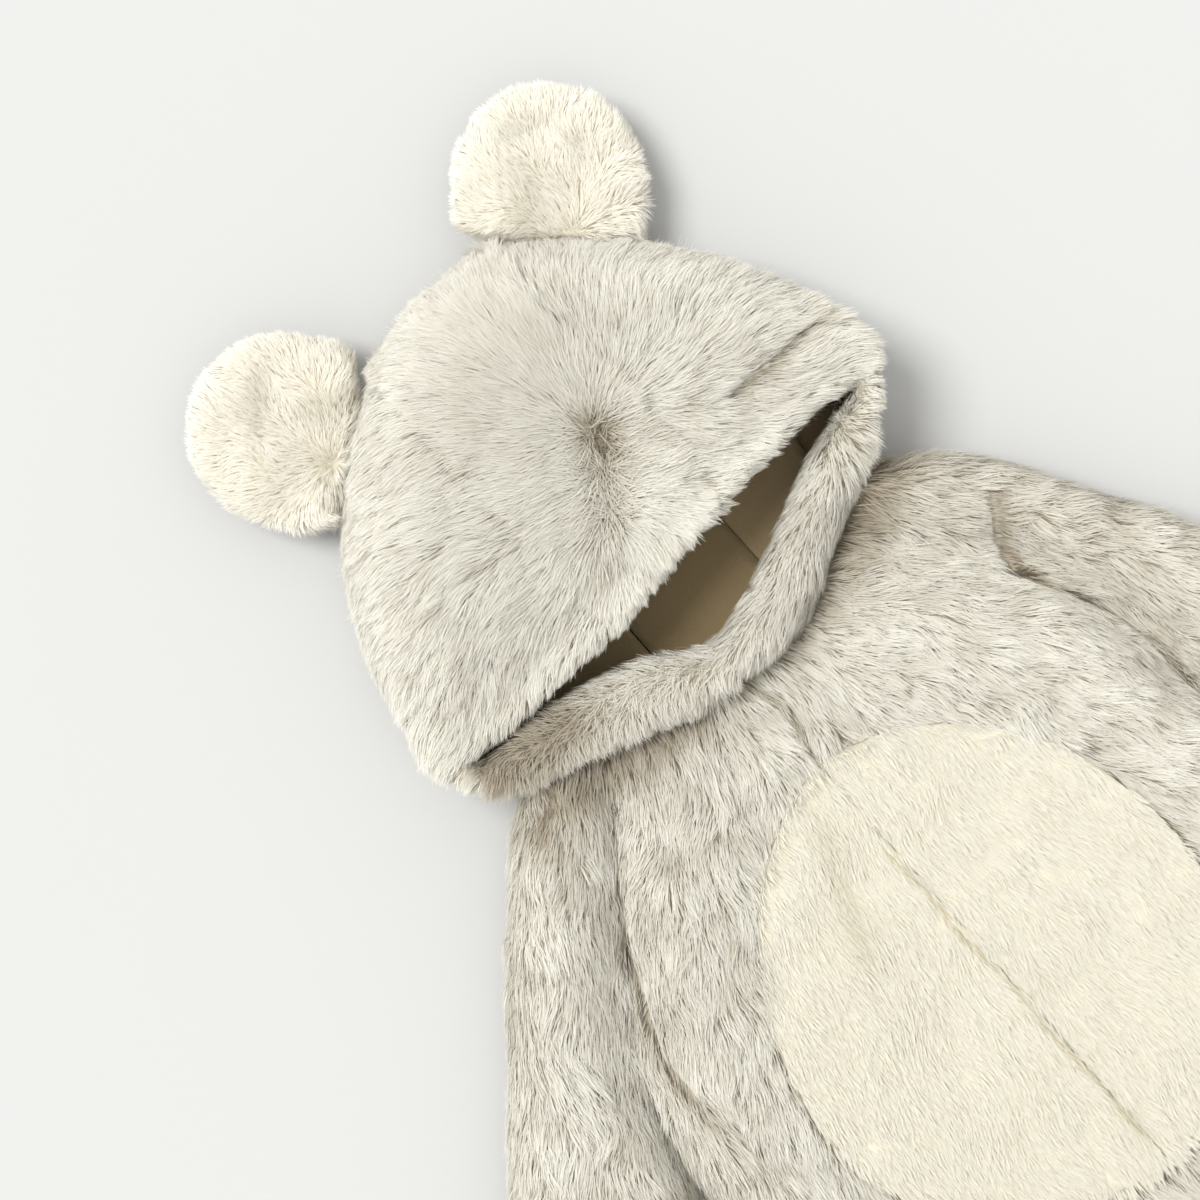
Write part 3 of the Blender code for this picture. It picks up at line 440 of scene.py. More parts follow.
FURS = {
    # name: strands, length, width, rise, lie, clump, pull, variety, tone
    "hood_fur": (56000, 16.0, 0.44, 0.50, 0.10, 4.2, 0.34, 0.52, 0.97),
    "body_fur": (60000, 17.0, 0.48, 0.50, 0.08, 4.6, 0.38, 0.74, 0.84),
    # The sleeves' low tone is painted shade, for sleeves that slope away from the light.
    "sleeve_fur": (36000, 17.0, 0.52, 0.50, 0.08, 4.6, 0.38, 0.74, 0.72),
    "back_fur": (8000, 13.0, 1.10, 0.20, 0.03, 7.0, 0.50, 0.90, 0.78),
    "patch_fur": (28000, 9.0, 0.62, 0.14, 0.02, 3.4, 0.10, 0.22, 0.87),
    "ear_fur": (13000, 8.0, 0.46, 0.80, 0.40, 3.0, 0.16, 0.20, 0.97),
    "ear_back_fur": (5000, 7.0, 0.70, 0.40, 0.10, 4.0, 0.20, 0.70, 0.80),
}


def title(key):
    return key.replace("_", " ").title()


def settings_group(key, made):
    """A property group of these settings, named after its key."""
    label = "Suit" + title(key).replace(" ", "")
    return type(label, (bpy.types.PropertyGroup,), {"__annotations__": made})


def sizes_of(fields, sizes):
    """A number setting for each field, with its own default."""
    return {
        key: FloatProperty(name=title(key), description=text, default=size, subtype=subtype)
        for (key, text, subtype), size in zip(fields, sizes)
    }


def fur_settings(strands, *sizes):
    """The settings of one kind of fur."""
    text = "Strands on each panel"
    made = {"strands": IntProperty(name="Strands", description=text, default=strands, min=100)}
    return {**made, **sizes_of(FUR_FIELDS, sizes)}


GROUPS = {key: settings_group(key, fur_settings(*values)) for key, values in FURS.items()}
GROUPS["cloth"] = settings_group("cloth", sizes_of(CLOTH_FIELDS, (2.6, 2.8, 3.6)))
GROUPS["stage"] = settings_group("stage", sizes_of(STAGE_FIELDS, (1.27, 2.9, 0.50, 1.0)))
hex_settings = {
    key: StringProperty(name=title(key), description="sRGB hex value", default=value)
    for key, value in COLOURS.items()
}
GROUPS["colours"] = settings_group("colours", hex_settings)
pointers = {key: PointerProperty(type=group, name=title(key)) for key, group in GROUPS.items()}
SuitSettings = settings_group("settings", pointers)


def linear(text):
    """A linear colour from an sRGB hex value."""
    parts = [int(text[i : i + 2], 16) / 255.0 for i in (0, 2, 4)]
    return [p / 12.92 if p <= 0.04045 else ((p + 0.055) / 1.055) ** 2.4 for p in parts] + [1.0]


def add_node(tree, kind, inputs=(), **settings):
    """A node with its settings, and its inputs set to values or linked to sockets."""
    node = tree.nodes.new("ShaderNode" + kind)
    for key, value in settings.items():
        setattr(node, key, value)
    for key, value in dict(inputs).items():
        if isinstance(value, bpy.types.NodeSocket):
            tree.links.new(value, node.inputs[key])
        else:
            node.inputs[key].default_value = value
    return node


def add_surface(tree, shader, output="BSDF"):
    add_node(tree, "OutputMaterial", {"Surface": shader.outputs[output]})


def empty_material(name):
    material = bpy.data.materials.new(name)
    material.use_nodes = True
    material.node_tree.nodes.clear()
    return material


def pile_material(name, dark, light, roughness, sheen):
    """Polyester pile: v of its map runs from root to tip, and u is the strand's tone, painted shade
    included.
    """
    material = empty_material(name)
    tree = material.node_tree
    place = add_node(tree, "UVMap", uv_map=PATTERN_MAP)
    parts = add_node(tree, "SeparateXYZ", {"Vector": place.outputs["UV"]})
    inputs = {"Factor": parts.outputs["X"]}
    for socket, colours in ((6, dark), (7, light)):
        ramp = add_node(tree, "ValToRGB", {"Fac": parts.outputs["Y"]})
        stops = ramp.color_ramp.elements
        stops[0].position, stops[1].position = 0.0, 1.0
        middle = stops.new(MIDDLE_AT)
        for stop, colour in zip((stops[0], middle, stops[2]), colours):
            stop.color = linear(colour)
        inputs[socket] = ramp.outputs["Color"]
    mixed = add_node(tree, "Mix", inputs, data_type="RGBA").outputs[2]
    finish = {"Roughness": roughness, "Specular IOR Level": 0.25, "Sheen Weight": sheen}
    shader = add_node(tree, "BsdfPrincipled", {"Base Color": mixed, **finish})
    through = add_node(tree, "BsdfTranslucent", {"Color": mixed})
    both = {"Fac": THROUGH, 1: shader.outputs["BSDF"], 2: through.outputs["BSDF"]}
    add_surface(tree, add_node(tree, "MixShader", both), "Shader")
    return material


def knit_material(name, colour, roughness, grain, depth):
    """Knitted cloth with a fine irregular grain in real size."""
    material = empty_material(name)
    tree = material.node_tree
    place = add_node(tree, "TexCoord").outputs["Object"]
    size = {"Scale": 1.0 / (grain * MM), "Detail": 3.0}
    noise = add_node(tree, "TexNoise", {"Vector": place, **size}).outputs["Fac"]
    inputs = {"Factor": noise}
    for socket, tone in zip((6, 7), GRAIN_TONES):
        inputs[socket] = [min(1.0, part * tone) for part in linear(colour)[:3]] + [1.0]
    shade = add_node(tree, "Mix", inputs, data_type="RGBA").outputs[2]
    height = {"Strength": 0.5, "Distance": depth * MM, "Height": noise}
    bump = add_node(tree, "Bump", height).outputs["Normal"]
    finish = {"Roughness": roughness, "Specular IOR Level": 0.2, "Sheen Weight": 0.25}
    add_surface(tree, add_node(tree, "BsdfPrincipled", {"Base Color": shade, "Normal": bump, **finish}))
    return material


def material_of(name, settings):
    """The material of that name, made when it is first asked for."""
    if name in bpy.data.materials:
        return bpy.data.materials[name]
    colours = settings.colours
    if name in PILES:
        parted, kind, roughness, sheen = PILES[name]
        light = [getattr(colours, f"{kind}_{part}") for part in ("root", "body", "tip")]
        return pile_material(name, parted, light, roughness, sheen)
    key, *finish = KNITS[name]
    return knit_material(name, getattr(colours, key), *finish)


def garment_xy(points):
    """Millimetres from the neck point, from metres in the frame."""
    return points[:, :2] / MM - NECK_POINT


def waves(xy, length, seed, count=5):
    """Smooth noise of about -1 to 1, from sine waves of about that length in millimetres."""
    random = np.random.default_rng(seed)
    total = np.zeros(len(xy))
    for _ in range(count):
        angle, phase = random.uniform(0.0, 2.0 * math.pi, 2)
        scale = 2.0 * math.pi / (length * random.uniform(0.7, 1.4))
        total += np.sin((xy[:, 0] * math.cos(angle) + xy[:, 1] * math.sin(angle)) * scale + phase)
    return total / math.sqrt(count)


def trough_depth(xy, creases):
    """How deep the creases press the pile in at each point, in millimetres; from a table of partings and
    painted shade it gives how much darker the pile is there.
    """
    depth = np.zeros(len(xy))
    for from_x, from_y, to_x, to_y, deep, half_width in creases:
        run = np.array((to_x - from_x, to_y - from_y))
        away = xy - np.array((from_x, from_y))
        share = limited(away @ run / (run @ run))
        gap = lengths(away - share[:, None] * run)
        depth = np.maximum(depth, deep * np.exp(-((gap / half_width) ** 2)))
    return depth


def limited(values):
    """The values held between 0 and 1."""
    return np.clip(values, 0.0, 1.0)


def lengths(vectors):
    return np.linalg.norm(vectors, axis=1)


def unit(vectors):
    """The vectors at length 1."""
    return vectors / np.maximum(np.linalg.norm(vectors, axis=-1, keepdims=True), TINY)


def put(name, data):
    """A new object of that data, in the scene."""
    made = bpy.data.objects.new(name, data)
    bpy.context.scene.collection.objects.link(made)
    return made


def nothing_selected():
    if bpy.context.mode != "OBJECT":
        bpy.ops.object.mode_set(mode="OBJECT")
    bpy.ops.object.select_all(action="DESELECT")


def only(piece):
    nothing_selected()
    piece.select_set(True)
    bpy.context.view_layer.objects.active = piece


def cloth_copy(node, name):
    """A smooth copy of a CAD sheet, with its cut edges kept crisp."""
    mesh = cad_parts[node].data.copy()
    mesh.name = name
    mesh.materials.clear()
    piece = put(name, mesh)
    only(piece)
    bpy.ops.object.mode_set(mode="EDIT")
    bpy.ops.mesh.select_mode(type="EDGE")
    bpy.ops.mesh.select_all(action="SELECT")
    bpy.ops.mesh.remove_doubles(threshold=0.00001)
    bpy.ops.mesh.select_all(action="DESELECT")
    bpy.ops.mesh.edges_select_sharp(sharpness=SHARP_EDGE)
    bpy.ops.transform.edge_crease(value=1.0)
    bpy.ops.object.mode_set(mode="OBJECT")
    bpy.ops.object.modifier_add(type="SUBSURF")
    smooth = piece.modifiers[-1]
    smooth.levels = 1
    smooth.render_levels = 1
    bpy.ops.object.modifier_apply(modifier=smooth.name)
    return piece


def smooth_regions(mesh):
    """The faces of each region that no sharp edge crosses."""
    work = bmesh.new()
    work.from_mesh(mesh)
    work.faces.ensure_lookup_table()
    region = np.full(len(work.faces), -1)
    count = 0
    for first in work.faces:
        if region[first.index] >= 0:
            continue
        region[first.index] = count
        waiting = [first]
        while waiting:
            face = waiting.pop()
            for edge in face.edges:
                if len(edge.link_faces) != 2 or edge.calc_face_angle(math.pi) > SHARP_EDGE:
                    continue
                for other in edge.link_faces:
                    if region[other.index] < 0:
                        region[other.index] = count
                        waiting.append(other)
        count += 1
    work.free()
    return region


def read(items, key, width=1, kind=float):
    """One value of every item of a mesh, as an array."""
    values = np.zeros(len(items) * width, kind)
    items.foreach_get(key, values)
    return values.reshape(-1, width) if width > 1 else values


def outer_faces(piece, half=None):
    """Which faces are the sheet's outer side, and which carry pile: those and its free edges."""
    faces = piece.data.polygons
    centres, normals = read(faces, "center", 3), read(faces, "normal", 3)
    areas = read(faces, "area")
    if half is not None:
        domed = normals[:, 2] * half > EAR_DOME
        return domed, domed
    region = smooth_regions(piece.data)
    middle = (centres * areas[:, None]).sum(0) / areas.sum()
    outward = np.bincount(region, ((centres - middle) * normals).sum(1) * areas)
    share = np.bincount(region, areas) / areas.sum()
    best = np.argmax(np.where(share > OUTER_SHARE, outward, -1.0))
    edges = (outward > 0.0) & (share > EDGE_SHARE) & (share < OUTER_SHARE)
    outer = region == best
    return outer, outer | edges[region]


def vertex_normals(mesh, chosen, points):
    """Normals at the vertices of the chosen faces alone."""
    total = np.zeros((len(mesh.vertices), 3))
    mesh.calc_loop_triangles()
    owner = read(mesh.loop_triangles, "polygon_index", 1, np.int32)
    corners = read(mesh.loop_triangles, "vertices", 3, np.int32)[chosen[owner]]
    a, b, c = (points[corners[:, i]] for i in range(3))
    cross = np.cross(b - a, c - a)
    for i in range(3):
        np.add.at(total, corners[:, i], cross)
    return unit(total), corners


def sink(piece, outer, carrying, depth, creases, most, others):
    """Moves the outer side in to the ground of the pile, with the creases pressed in.

    Where another piece is at the seam, it moves straight down, so that the seam stays closed.
    """
    mesh = piece.data
    points = read(mesh.vertices, "co", 3)
    normals, corners = vertex_normals(mesh, outer, points)
    used = np.unique(corners)
    xy, upward = garment_xy(points[used]), normals[used, 2]
    press = trough_depth(xy, creases) * limited(upward * PRESS_SLOPE)
    swell = waves(xy, SWELL_LENGTH, 5) * SWELL * limited(upward)
    total = np.minimum(depth + press + swell, most)
    way = normals[used].copy()
    for index, point in enumerate(points[used]):
        gap = others.find_nearest(Vector(point), SEAM_REACH * MM)[3]
        if gap is not None:
            near = min(1.0, SEAM_TURN * (1.0 - gap / (SEAM_REACH * MM)))
            way[index, :2] *= 1.0 - near
            way[index, 2] = way[index, 2] * (1.0 - near) + near * np.sign(way[index, 2])
            if piece.name.startswith("ear_"):
                total[index] *= 1.0 - SEAM_EAR * near
    points[used] -= way * (total * MM)[:, None]
    mesh.vertices.foreach_set("co", points.ravel())
    mesh.update()
    normals, corners = vertex_normals(mesh, carrying, points)
    return points, normals, corners


def cover_tree(without):
    """A search tree of every CAD node but those named."""
    points, faces = [], []
    for name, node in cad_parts.items():
        if name in without:
            continue
        start = len(points)
        points.extend(v.co.copy() for v in node.data.vertices)
        faces.extend([start + i for i in p.vertices] for p in node.data.polygons)
    return BVHTree.FromPolygons(points, faces)


def scatter(points, normals, corners, strands, seed, covers):
    """Roots and normals of strands, densest where the camera looks, none under another piece."""
    random = np.random.default_rng(seed)
    a, b, c = (points[corners[:, i]] for i in range(3))
    cross = np.cross(b - a, c - a)
    area = lengths(cross)
    facing = cross[:, 2] / np.maximum(area, TINY**2)
    middle = garment_xy((a + b + c) / 3.0)
    away = lengths(middle - SEEN_FROM)
    weight = area * np.where(away < SEEN_HALF, 1.0, UNSEEN_SHARE)
    weight = weight * np.where(facing < UNDERSIDE, UNDERSIDE_SHARE, 1.0)
    kept_places, kept_normals, kept = [], [], 0
    for _ in range(ROUNDS):
        pick = random.choice(len(area), size=strands, p=weight / weight.sum())
        s, t = np.sqrt(random.random(len(pick))), random.random(len(pick))
        shares = np.column_stack((1.0 - s, s * (1.0 - t), s * t))
        where = np.einsum("ij,ijk->ik", shares, points[corners[pick]])
        facing = unit(np.einsum("ij,ijk->ik", shares, normals[corners[pick]]))
        tilt = np.clip(facing[:, 2:3] * COVER_TILT[0], 0.0, COVER_TILT[1])
        search = unit(facing + UP * tilt)
        start = where + search * COVER_START * MM
        free = [
            covers.ray_cast(Vector(p), Vector(n), COVER_REACH * MM)[0] is None
            for p, n in zip(start.tolist(), search.tolist())
        ]
        kept_places.append(where[free])
        kept_normals.append(facing[free])
        kept += sum(free)
        if kept >= strands:
            break
    return np.concatenate(kept_places)[:strands], np.concatenate(kept_normals)[:strands]


def cells(xy, side, seed):
    """The clump each point belongs to, by the nearest of one centre a square, and the way from it."""
    square = np.floor(xy / side).astype(np.int64)
    nearest = np.full(len(xy), np.inf)
    label = np.zeros(len(xy), np.int64)
    away = np.zeros((len(xy), 2))
    for step in np.ndindex(3, 3):
        here = square + np.array(step) - 1
        key = (here[:, 0] * HASHES[0]) ^ (here[:, 1] * HASHES[1]) ^ seed
        spots = np.column_stack((key * HASHES[2] >> 5, key * HASHES[3] >> 3)) % HASH_STEPS
        gap = xy - (here + spots / float(HASH_STEPS)) * side
        nearer = (gap**2).sum(1) < nearest
        label = np.where(nearer, key, label)
        away = np.where(nearer[:, None], gap, away)
        nearest = np.where(nearer, (gap**2).sum(1), nearest)
    return label, away


def part_marks(xy, flow, seed):
    """How far each point lies in one of the small curved marks where locks part, from 0 to 1."""
    label, away = cells(xy, MARK_SQUARE, seed)
    along = (away * flow).sum(1)
    across = away[:, 0] * -flow[:, 1] + away[:, 1] * flow[:, 0]
    size = 0.6 + 0.6 * ((label >> 4) % 97) / 97.0
    bent = along - across**2 * MARK_BEND / size
    there = ((label >> 7) % 101) / 101.0 < MARK_SHARE
    return there * size * np.exp(-((bent / MARK_LONG) ** 2) - (across / (MARK_WIDE * size)) ** 2)


def stop_share(start, end):
    """How much of each run from start to end stays, so that none crosses a dark parting."""
    kept = np.full(len(start), 1.2)
    run = end - start
    for from_x, from_y, to_x, to_y, darker, _ in PARTINGS_AND_CREASE_SHADE:
        if darker < STOP_DARKER:
            continue
        line = np.array((to_x - from_x, to_y - from_y))
        gap = np.array((from_x, from_y)) - start
        turn = run[:, 0] * line[1] - run[:, 1] * line[0]
        turn = np.where(np.abs(turn) < TINY, TINY, turn)
        along_run = (gap[:, 0] * line[1] - gap[:, 1] * line[0]) / turn
        along_line = (gap[:, 0] * run[:, 1] - gap[:, 1] * run[:, 0]) / turn
        crosses = (along_run > 0.0) & (along_line >= 0.0) & (along_line <= 1.0)
        kept = np.where(crosses, np.minimum(kept, along_run), kept)
    return kept


class Lay:
    """How the pile lies at each root: its way, how much lighter, painted shade and light included, its
    share of length, its lift.
    """

    def __init__(self, flow, tone=0.0, share=1.0, lift=0.0):
        self.flow, self.tone, self.share, self.lift = unit(flow), tone, share, lift


def fur_piece(name, roots, normals, lay, style, seed, reach=None):
    """A joined mesh of bent strands, each two triangles wide, drawn into clumps at their tips."""
    random = np.random.default_rng(seed)
    count = len(roots)
    xy = garment_xy(roots)
    label = cells(xy, style.clump, seed)[0] * 2 + (normals[:, 2] > 0.0)
    label = np.unique(label, return_inverse=True)[1].ravel()
    clumps = label.max() + 1
    size = np.maximum(np.bincount(label, minlength=clumps), 1)
    lock, heart = cells(xy, LOCK, seed + 9)
    lock = np.unique(lock * 2 + (normals[:, 2] > 0.0), return_inverse=True)[1].ravel()
    locks = lock.max() + 1
    from_heart = limited(lengths(heart) / LOCK)
    calm = CALM_SHARE * np.exp(-((lengths(xy - CALM_CENTRE) / CALM_RADIUS) ** 2))
    lively = style.variety * (1.0 - calm)

    def shared(values):
        """The mean of each strand's clump."""
        return np.column_stack([np.bincount(label, values[:, i], clumps) / size for i in range(3)])[label]

    def wander(long, short, spreads, wave_seed):
        """Two waves over the sheet, and a random part for each clump, lock and strand."""
        return (
            waves(xy, long[0], wave_seed) * long[1]
            + waves(xy, short[0], wave_seed + 1) * short[1]
            + random.normal(0.0, spreads[0], clumps)[label]
            + random.normal(0.0, spreads[1], locks)[lock]
            + random.normal(0.0, spreads[2], count)
        )

    def strayed(angle, spreads):
        by_clump = random.normal(0.0, spreads[0], clumps)[label]
        return angle + by_clump + random.normal(0.0, spreads[1], count)

    def turned(first, second, angle):
        """From the first way to the second by an angle."""
        return first * np.cos(angle)[:, None] + second * np.sin(angle)[:, None]

    turn = (CALM_TURN + (1.0 - CALM_TURN) * lively) * wander(*TURNS, seed + 1)
    (x, y), cosine, sine = lay.flow.T, np.cos(turn), np.sin(turn)
    ahead = np.column_stack((x * cosine - y * sine, x * sine + y * cosine, np.zeros(count)))
    along = ahead - (ahead * normals).sum(1, keepdims=True) * normals
    steep = 1.0 - np.abs(normals[:, 2:3])
    along = unit(along - HANG * steep * (UP - normals[:, 2:3] * normals))
    side = np.cross(normals, along)
    length = style.length * MM * random.uniform(*STRAND_LENGTHS, count)
    marks = part_marks(xy, ahead[:, :2], seed + 31) * limited(lively * 1.2)
    length = length * random.uniform(*CLUMP_LENGTHS, clumps)[label]
    length = length * lay.share * (1.0 - MARK_SHORTER * marks)
    rise = strayed(style.rise, RISES)
    lie = strayed(style.lie, LIES)
    down = np.where(normals[:, 2] < -0.2, UNDER_RISE, 1.0) * (1.0 - 0.5 * calm)
    rise, lie = (rise + lay.lift) * down, lie * down

    def step(share, angle, sway):
        sideways = side * random.normal(0.0, sway, count)[:, None]
        return (length * share)[:, None] * (turned(along, normals, angle) + sideways)

    middle = roots + step(BEND, rise, SWAYS[0])
    tip = middle + step(1.0 - BEND, lie, SWAYS[1])
    kept = stop_share(xy, garment_xy(tip)) * random.uniform(*STOP_LENGTHS, count)
    if reach is not None:
        kept = np.minimum(kept, reach(roots, tip))
    kept = np.clip(kept, LEAST_SHARE, 1.0)[:, None]
    middle, tip = roots + (middle - roots) * kept, roots + (tip - roots) * kept
    pull = (style.pull * random.uniform(*PULLS, count) * (1.0 - calm))[:, None]
    tip = tip + np.clip(pull, 0.0, MOST_PULL) * (shared(tip) - tip)
    middle = middle + BEND_PULL * pull * (shared(middle) - middle)
    across = turned(side, normals, random.normal(0.0, TWIST, count))
    half = (style.width * MM * 0.5 * random.uniform(*WIDTHS, count))[:, None]
    roots = roots - normals * ROOT_DEPTH * MM
    points = np.stack((roots, middle - across * half, middle + across * half, tip), 1)
    points[..., 2] = np.maximum(points[..., 2], FLOOR_GAP * MM)
    # Painted shade darkens the edges of locks and the part marks, where neighbouring locks shadow them.
    shade = lively * (wander(*SHADES, seed + 3) - LOCK_EDGE_SHADE * from_heart**2)
    shade = style.tone + lay.tone + shade - MARK_PAINTED_SHADE * marks
    # Partings darken the pile where its roots show, with painted shade along the creases.
    shade = np.clip(shade - trough_depth(xy, PARTINGS_AND_CREASE_SHADE) - CALM_DARKER * calm, *TONES)
    u = np.stack((shade, shade - TONE_EDGE, shade + TONE_EDGE, shade), 1)
    v = np.tile((0.0, BEND, BEND, 1.0), (count, 1))
    return put(name, strand_mesh(name, points, u, v))


def strand_mesh(name, points, u, v):
    """A mesh of strands from their four points each, with its map."""
    count = len(points)
    triangles = np.array((0, 1, 2, 1, 3, 2))
    corners = (np.arange(count)[:, None] * 4 + triangles).ravel()
    mesh = bpy.data.meshes.new(name)
    mesh.vertices.add(count * 4)
    mesh.vertices.foreach_set("co", points.ravel())
    mesh.loops.add(len(corners))
    mesh.loops.foreach_set("vertex_index", corners)
    mesh.polygons.add(count * 2)
    mesh.polygons.foreach_set("loop_start", np.arange(count * 2) * 3)
    mesh.polygons.foreach_set("use_smooth", np.ones(count * 2, bool))
    pattern = mesh.uv_layers.new(name=PATTERN_MAP)
    places = np.column_stack((u[:, triangles].ravel(), v[:, triangles].ravel()))
    pattern.data.foreach_set("uv", places.ravel())
    mesh.update(calc_edges=True)
    return mesh


def hood_lay(roots, side):
    """Out from the crown's parting, over the rim, and both ways from the cheek rolls' parting."""
    xy = garment_xy(roots)
    run = WHORL[1] - WHORL[0]
    place = limited((xy - WHORL[0]) @ run / (run @ run))[:, None]
    away = xy - WHORL[0] - place * run
    away = away + np.random.default_rng(5).normal(0.0, WHORL_STRAY, (len(xy), 2))
    flow = unit(away + 1e-6)
    near = np.exp(-((lengths(away) / WHORL_REACH) ** 2))
    lift = WHORL_LIFT * (1.0 - place[:, 0]) * near
    right = limited((LEAN_FROM - xy[:, 0]) / LEAN_OVER)
    flow = unit(flow + right[:, None] * LEAN)
    near_rim = limited((RIM_TURN_FROM - xy[:, 1]) / RIM_TURN_OVER)
    down = np.column_stack((RIM_LEAN * right, np.full(len(xy), RIM_DOWN)))
    flow = unit(flow + near_rim[:, None] * down)
    rim_y = np.interp(xy[:, 0], *RIM_LINE)
    at_rim = limited((rim_y + RIM_SHORT_OVER - xy[:, 1]) / RIM_SHORT_OVER)
    share = 1.0 - RIM_SHORTER * at_rim
    if side == "centre":
        return Lay(flow, 0.0, share, lift)
    out = xy[:, 0] * SIGNS[side]
    columns, face_y, neck_y, parting, along, spread, slant = CHEEK_ROLLS[side]
    top, low = np.interp(out, columns, face_y), np.interp(out, columns, neck_y)
    place = (xy[:, 1] - low) / np.maximum(top - low, ROLL_LEAST)
    stray = np.random.default_rng(7).normal(0.0, ROLL_STRAY, len(xy))
    across = np.tanh((place + stray - parting) * ROLL_SHARP) * spread
    roll = np.column_stack((np.full(len(xy), along), across - slant))
    on_roll = (place < ROLL_TOP) & (out < ROLL_END) & (roots[:, 2] > ROLL_HEIGHT * MM)
    blend = limited((out - ROLL_TURN) / (ROLL_END - ROLL_TURN))[:, None]
    turned = (1.0 - blend) * unit(roll) + blend * flow + blend * (1.0 - blend) * ROLL_BOW
    flow = np.where(on_roll[:, None], turned, flow)
    # Painted shade on the rolls' inner side, under the rim.
    tone = np.where(on_roll, ROLL_TONE - trough_depth(xy, SHADE_INSIDE_CHEEKS), 0.0)
    share = np.where(on_roll, ROLL_LENGTH, share)
    return Lay(flow, tone, share, np.where(on_roll, ROLL_LIFT * (1.0 - np.abs(across)), lift))


def rim_reach(roots, tips, side):
    """How much of each strand stays, so that the tips end in an uneven line over the face."""
    root, tip = garment_xy(roots), garment_xy(tips)
    uneven = sum(size * waves(tip, length, seed) for size, length, seed in RIM_WAVES)
    run = np.maximum(root[:, 1] - tip[:, 1], LEAST_RUN)
    line = np.interp(tip[:, 0], *RIM_LINE) - RIM_OVERHANG + uneven
    share = np.where(tip[:, 1] < line, (root[:, 1] - line) / run, 1.0)
    if side != "centre":
        columns, face_y = CHEEK_ROLLS[side][:2]
        out = tip[:, 0] * SIGNS[side]
        edge = np.interp(out, columns, face_y)
        cheek = root[:, 1] < edge + CHEEK_BAND
        far = limited((out - CHEEK_FAR_FROM) / CHEEK_FAR_OVER)
        edge = edge + CHEEK_WAVES * uneven + CHEEK_OVERHANG + CHEEK_FAR_OVERHANG * far
        rise = np.maximum(tip[:, 1] - root[:, 1], LEAST_RUN)
        inward = np.where(tip[:, 1] > edge, (edge - root[:, 1]) / rise, 1.0)
        share = np.where(cheek, inward, share)
    return np.clip(share, LEAST_RIM_SHARE, 1.0)


def body_lay(roots, patch):
    """Down the body, fanning out to the sides, more so near the neck, and up over the patch's edge."""
    xy = garment_xy(roots)
    fan = np.clip(xy[:, 0] / FAN_HALF, -1.0, 1.0)
    near_neck = limited((xy[:, 1] + FAN_NECK) / FAN_NECK)
    sideways = fan * (FAN + FAN_MORE * near_neck)
    flow = unit(np.column_stack((sideways, np.full(len(xy), BODY_DOWN))))
    lift = np.zeros(len(xy))
    for index, point in enumerate(roots.tolist()):
        place, _, _, gap = patch.find_nearest(Vector(point), PATCH_REACH * MM)
        if place is not None:
            to_patch = (place.x - point[0]) * flow[index, 0] + (place.y - point[1]) * flow[index, 1]
            lift[index] = PATCH_LIFT * (1.0 - gap / (PATCH_REACH * MM)) * (to_patch > 0.0)
    # Painted shade under the cheek rolls.
    return Lay(flow, -trough_depth(xy, SHADE_UNDER_CHEEKS), 1.0, lift)


def sleeve_lay(roots, side):
    """Down the sleeve, a little outwards."""
    flow = np.tile((SLEEVE_WAY[0] * SIGNS[side], SLEEVE_WAY[1]), (len(roots), 1))
    # Painted light on the right sleeve, less painted shade under the cheek rolls.
    return Lay(flow, SLEEVE_PAINTED_LIGHT[side] - trough_depth(garment_xy(roots), SHADE_UNDER_CHEEKS))


def patch_lay(roots):
    """Down the patch, hardly fanning out."""
    return Lay(np.column_stack((garment_xy(roots)[:, 0] / PATCH_FAN, -np.ones(len(roots)))))


def ear_lay(roots, side):
    """Outwards from the hood, tousled, and longer into the corner at the hood."""
    xy = garment_xy(roots)
    outwards = np.array((EAR_WAY[0] * SIGNS[side], EAR_WAY[1]))
    direction = (xy - EAR_CENTRES[side]) / EAR_FAN + outwards
    corner = EAR_CORNERS[side] - xy
    gap = lengths(corner) / EAR_CORNER_REACH
    near = np.exp(-(gap**2))[:, None]
    mixed = np.column_stack((waves(xy, EAR_WAVES, 61), waves(xy, EAR_WAVES, 62)))
    to_corner = EAR_CORNER_TURN * near * unit(corner)
    direction = unit(direction) * (1.0 - near) + to_corner + EAR_TOUSLE * mixed
    return Lay(direction, 0.0, 1.0 + EAR_CORNER_LONGER * near[:, 0])


def finish_cloth(piece, chosen, ground, inside, settings):
    """Gives the chosen faces the ground and the others the inside."""
    piece.data.materials.append(material_of(ground, settings))
    piece.data.materials.append(material_of(inside, settings))
    index = np.where(chosen, 0, 1).astype(np.int32)
    piece.data.polygons.foreach_set("material_index", index)
    only(piece)
    bpy.ops.object.shade_smooth_by_angle(angle=SHARP_EDGE)


def grow(piece, node, faces, others, kind, inside, style, settings, seed, press, lay, reach=None):
    """Sinks a piece to the ground of its pile and grows its fur, which is returned."""
    pile, ground, slot = kind
    points, normals, corners = sink(piece, *faces, *press, others)
    finish_cloth(piece, faces[1], ground, inside, settings)
    roots, facing = scatter(points, normals, corners, style.strands, seed, others)
    fur = fur_piece(node + "_fur", roots, facing, lay(roots), style, seed, reach)
    fur.data.materials.append(material_of(pile, settings))
    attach(piece, BODY)
    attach(fur, BODY)
    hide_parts(node)
    return fur


def plush_panel(node, kind, style, settings, seed, press, lay, reach=None):
    """A plush panel with its fur. press holds its depth, its creases and the most it is sunk."""
    piece = cloth_copy(node, node + "_cloth")
    faces, others = outer_faces(piece), cover_tree({node})
    inside = "taupe_velour_lining"
    fur = grow(piece, node, faces, others, kind, inside, style, settings, seed, press, lay, reach)


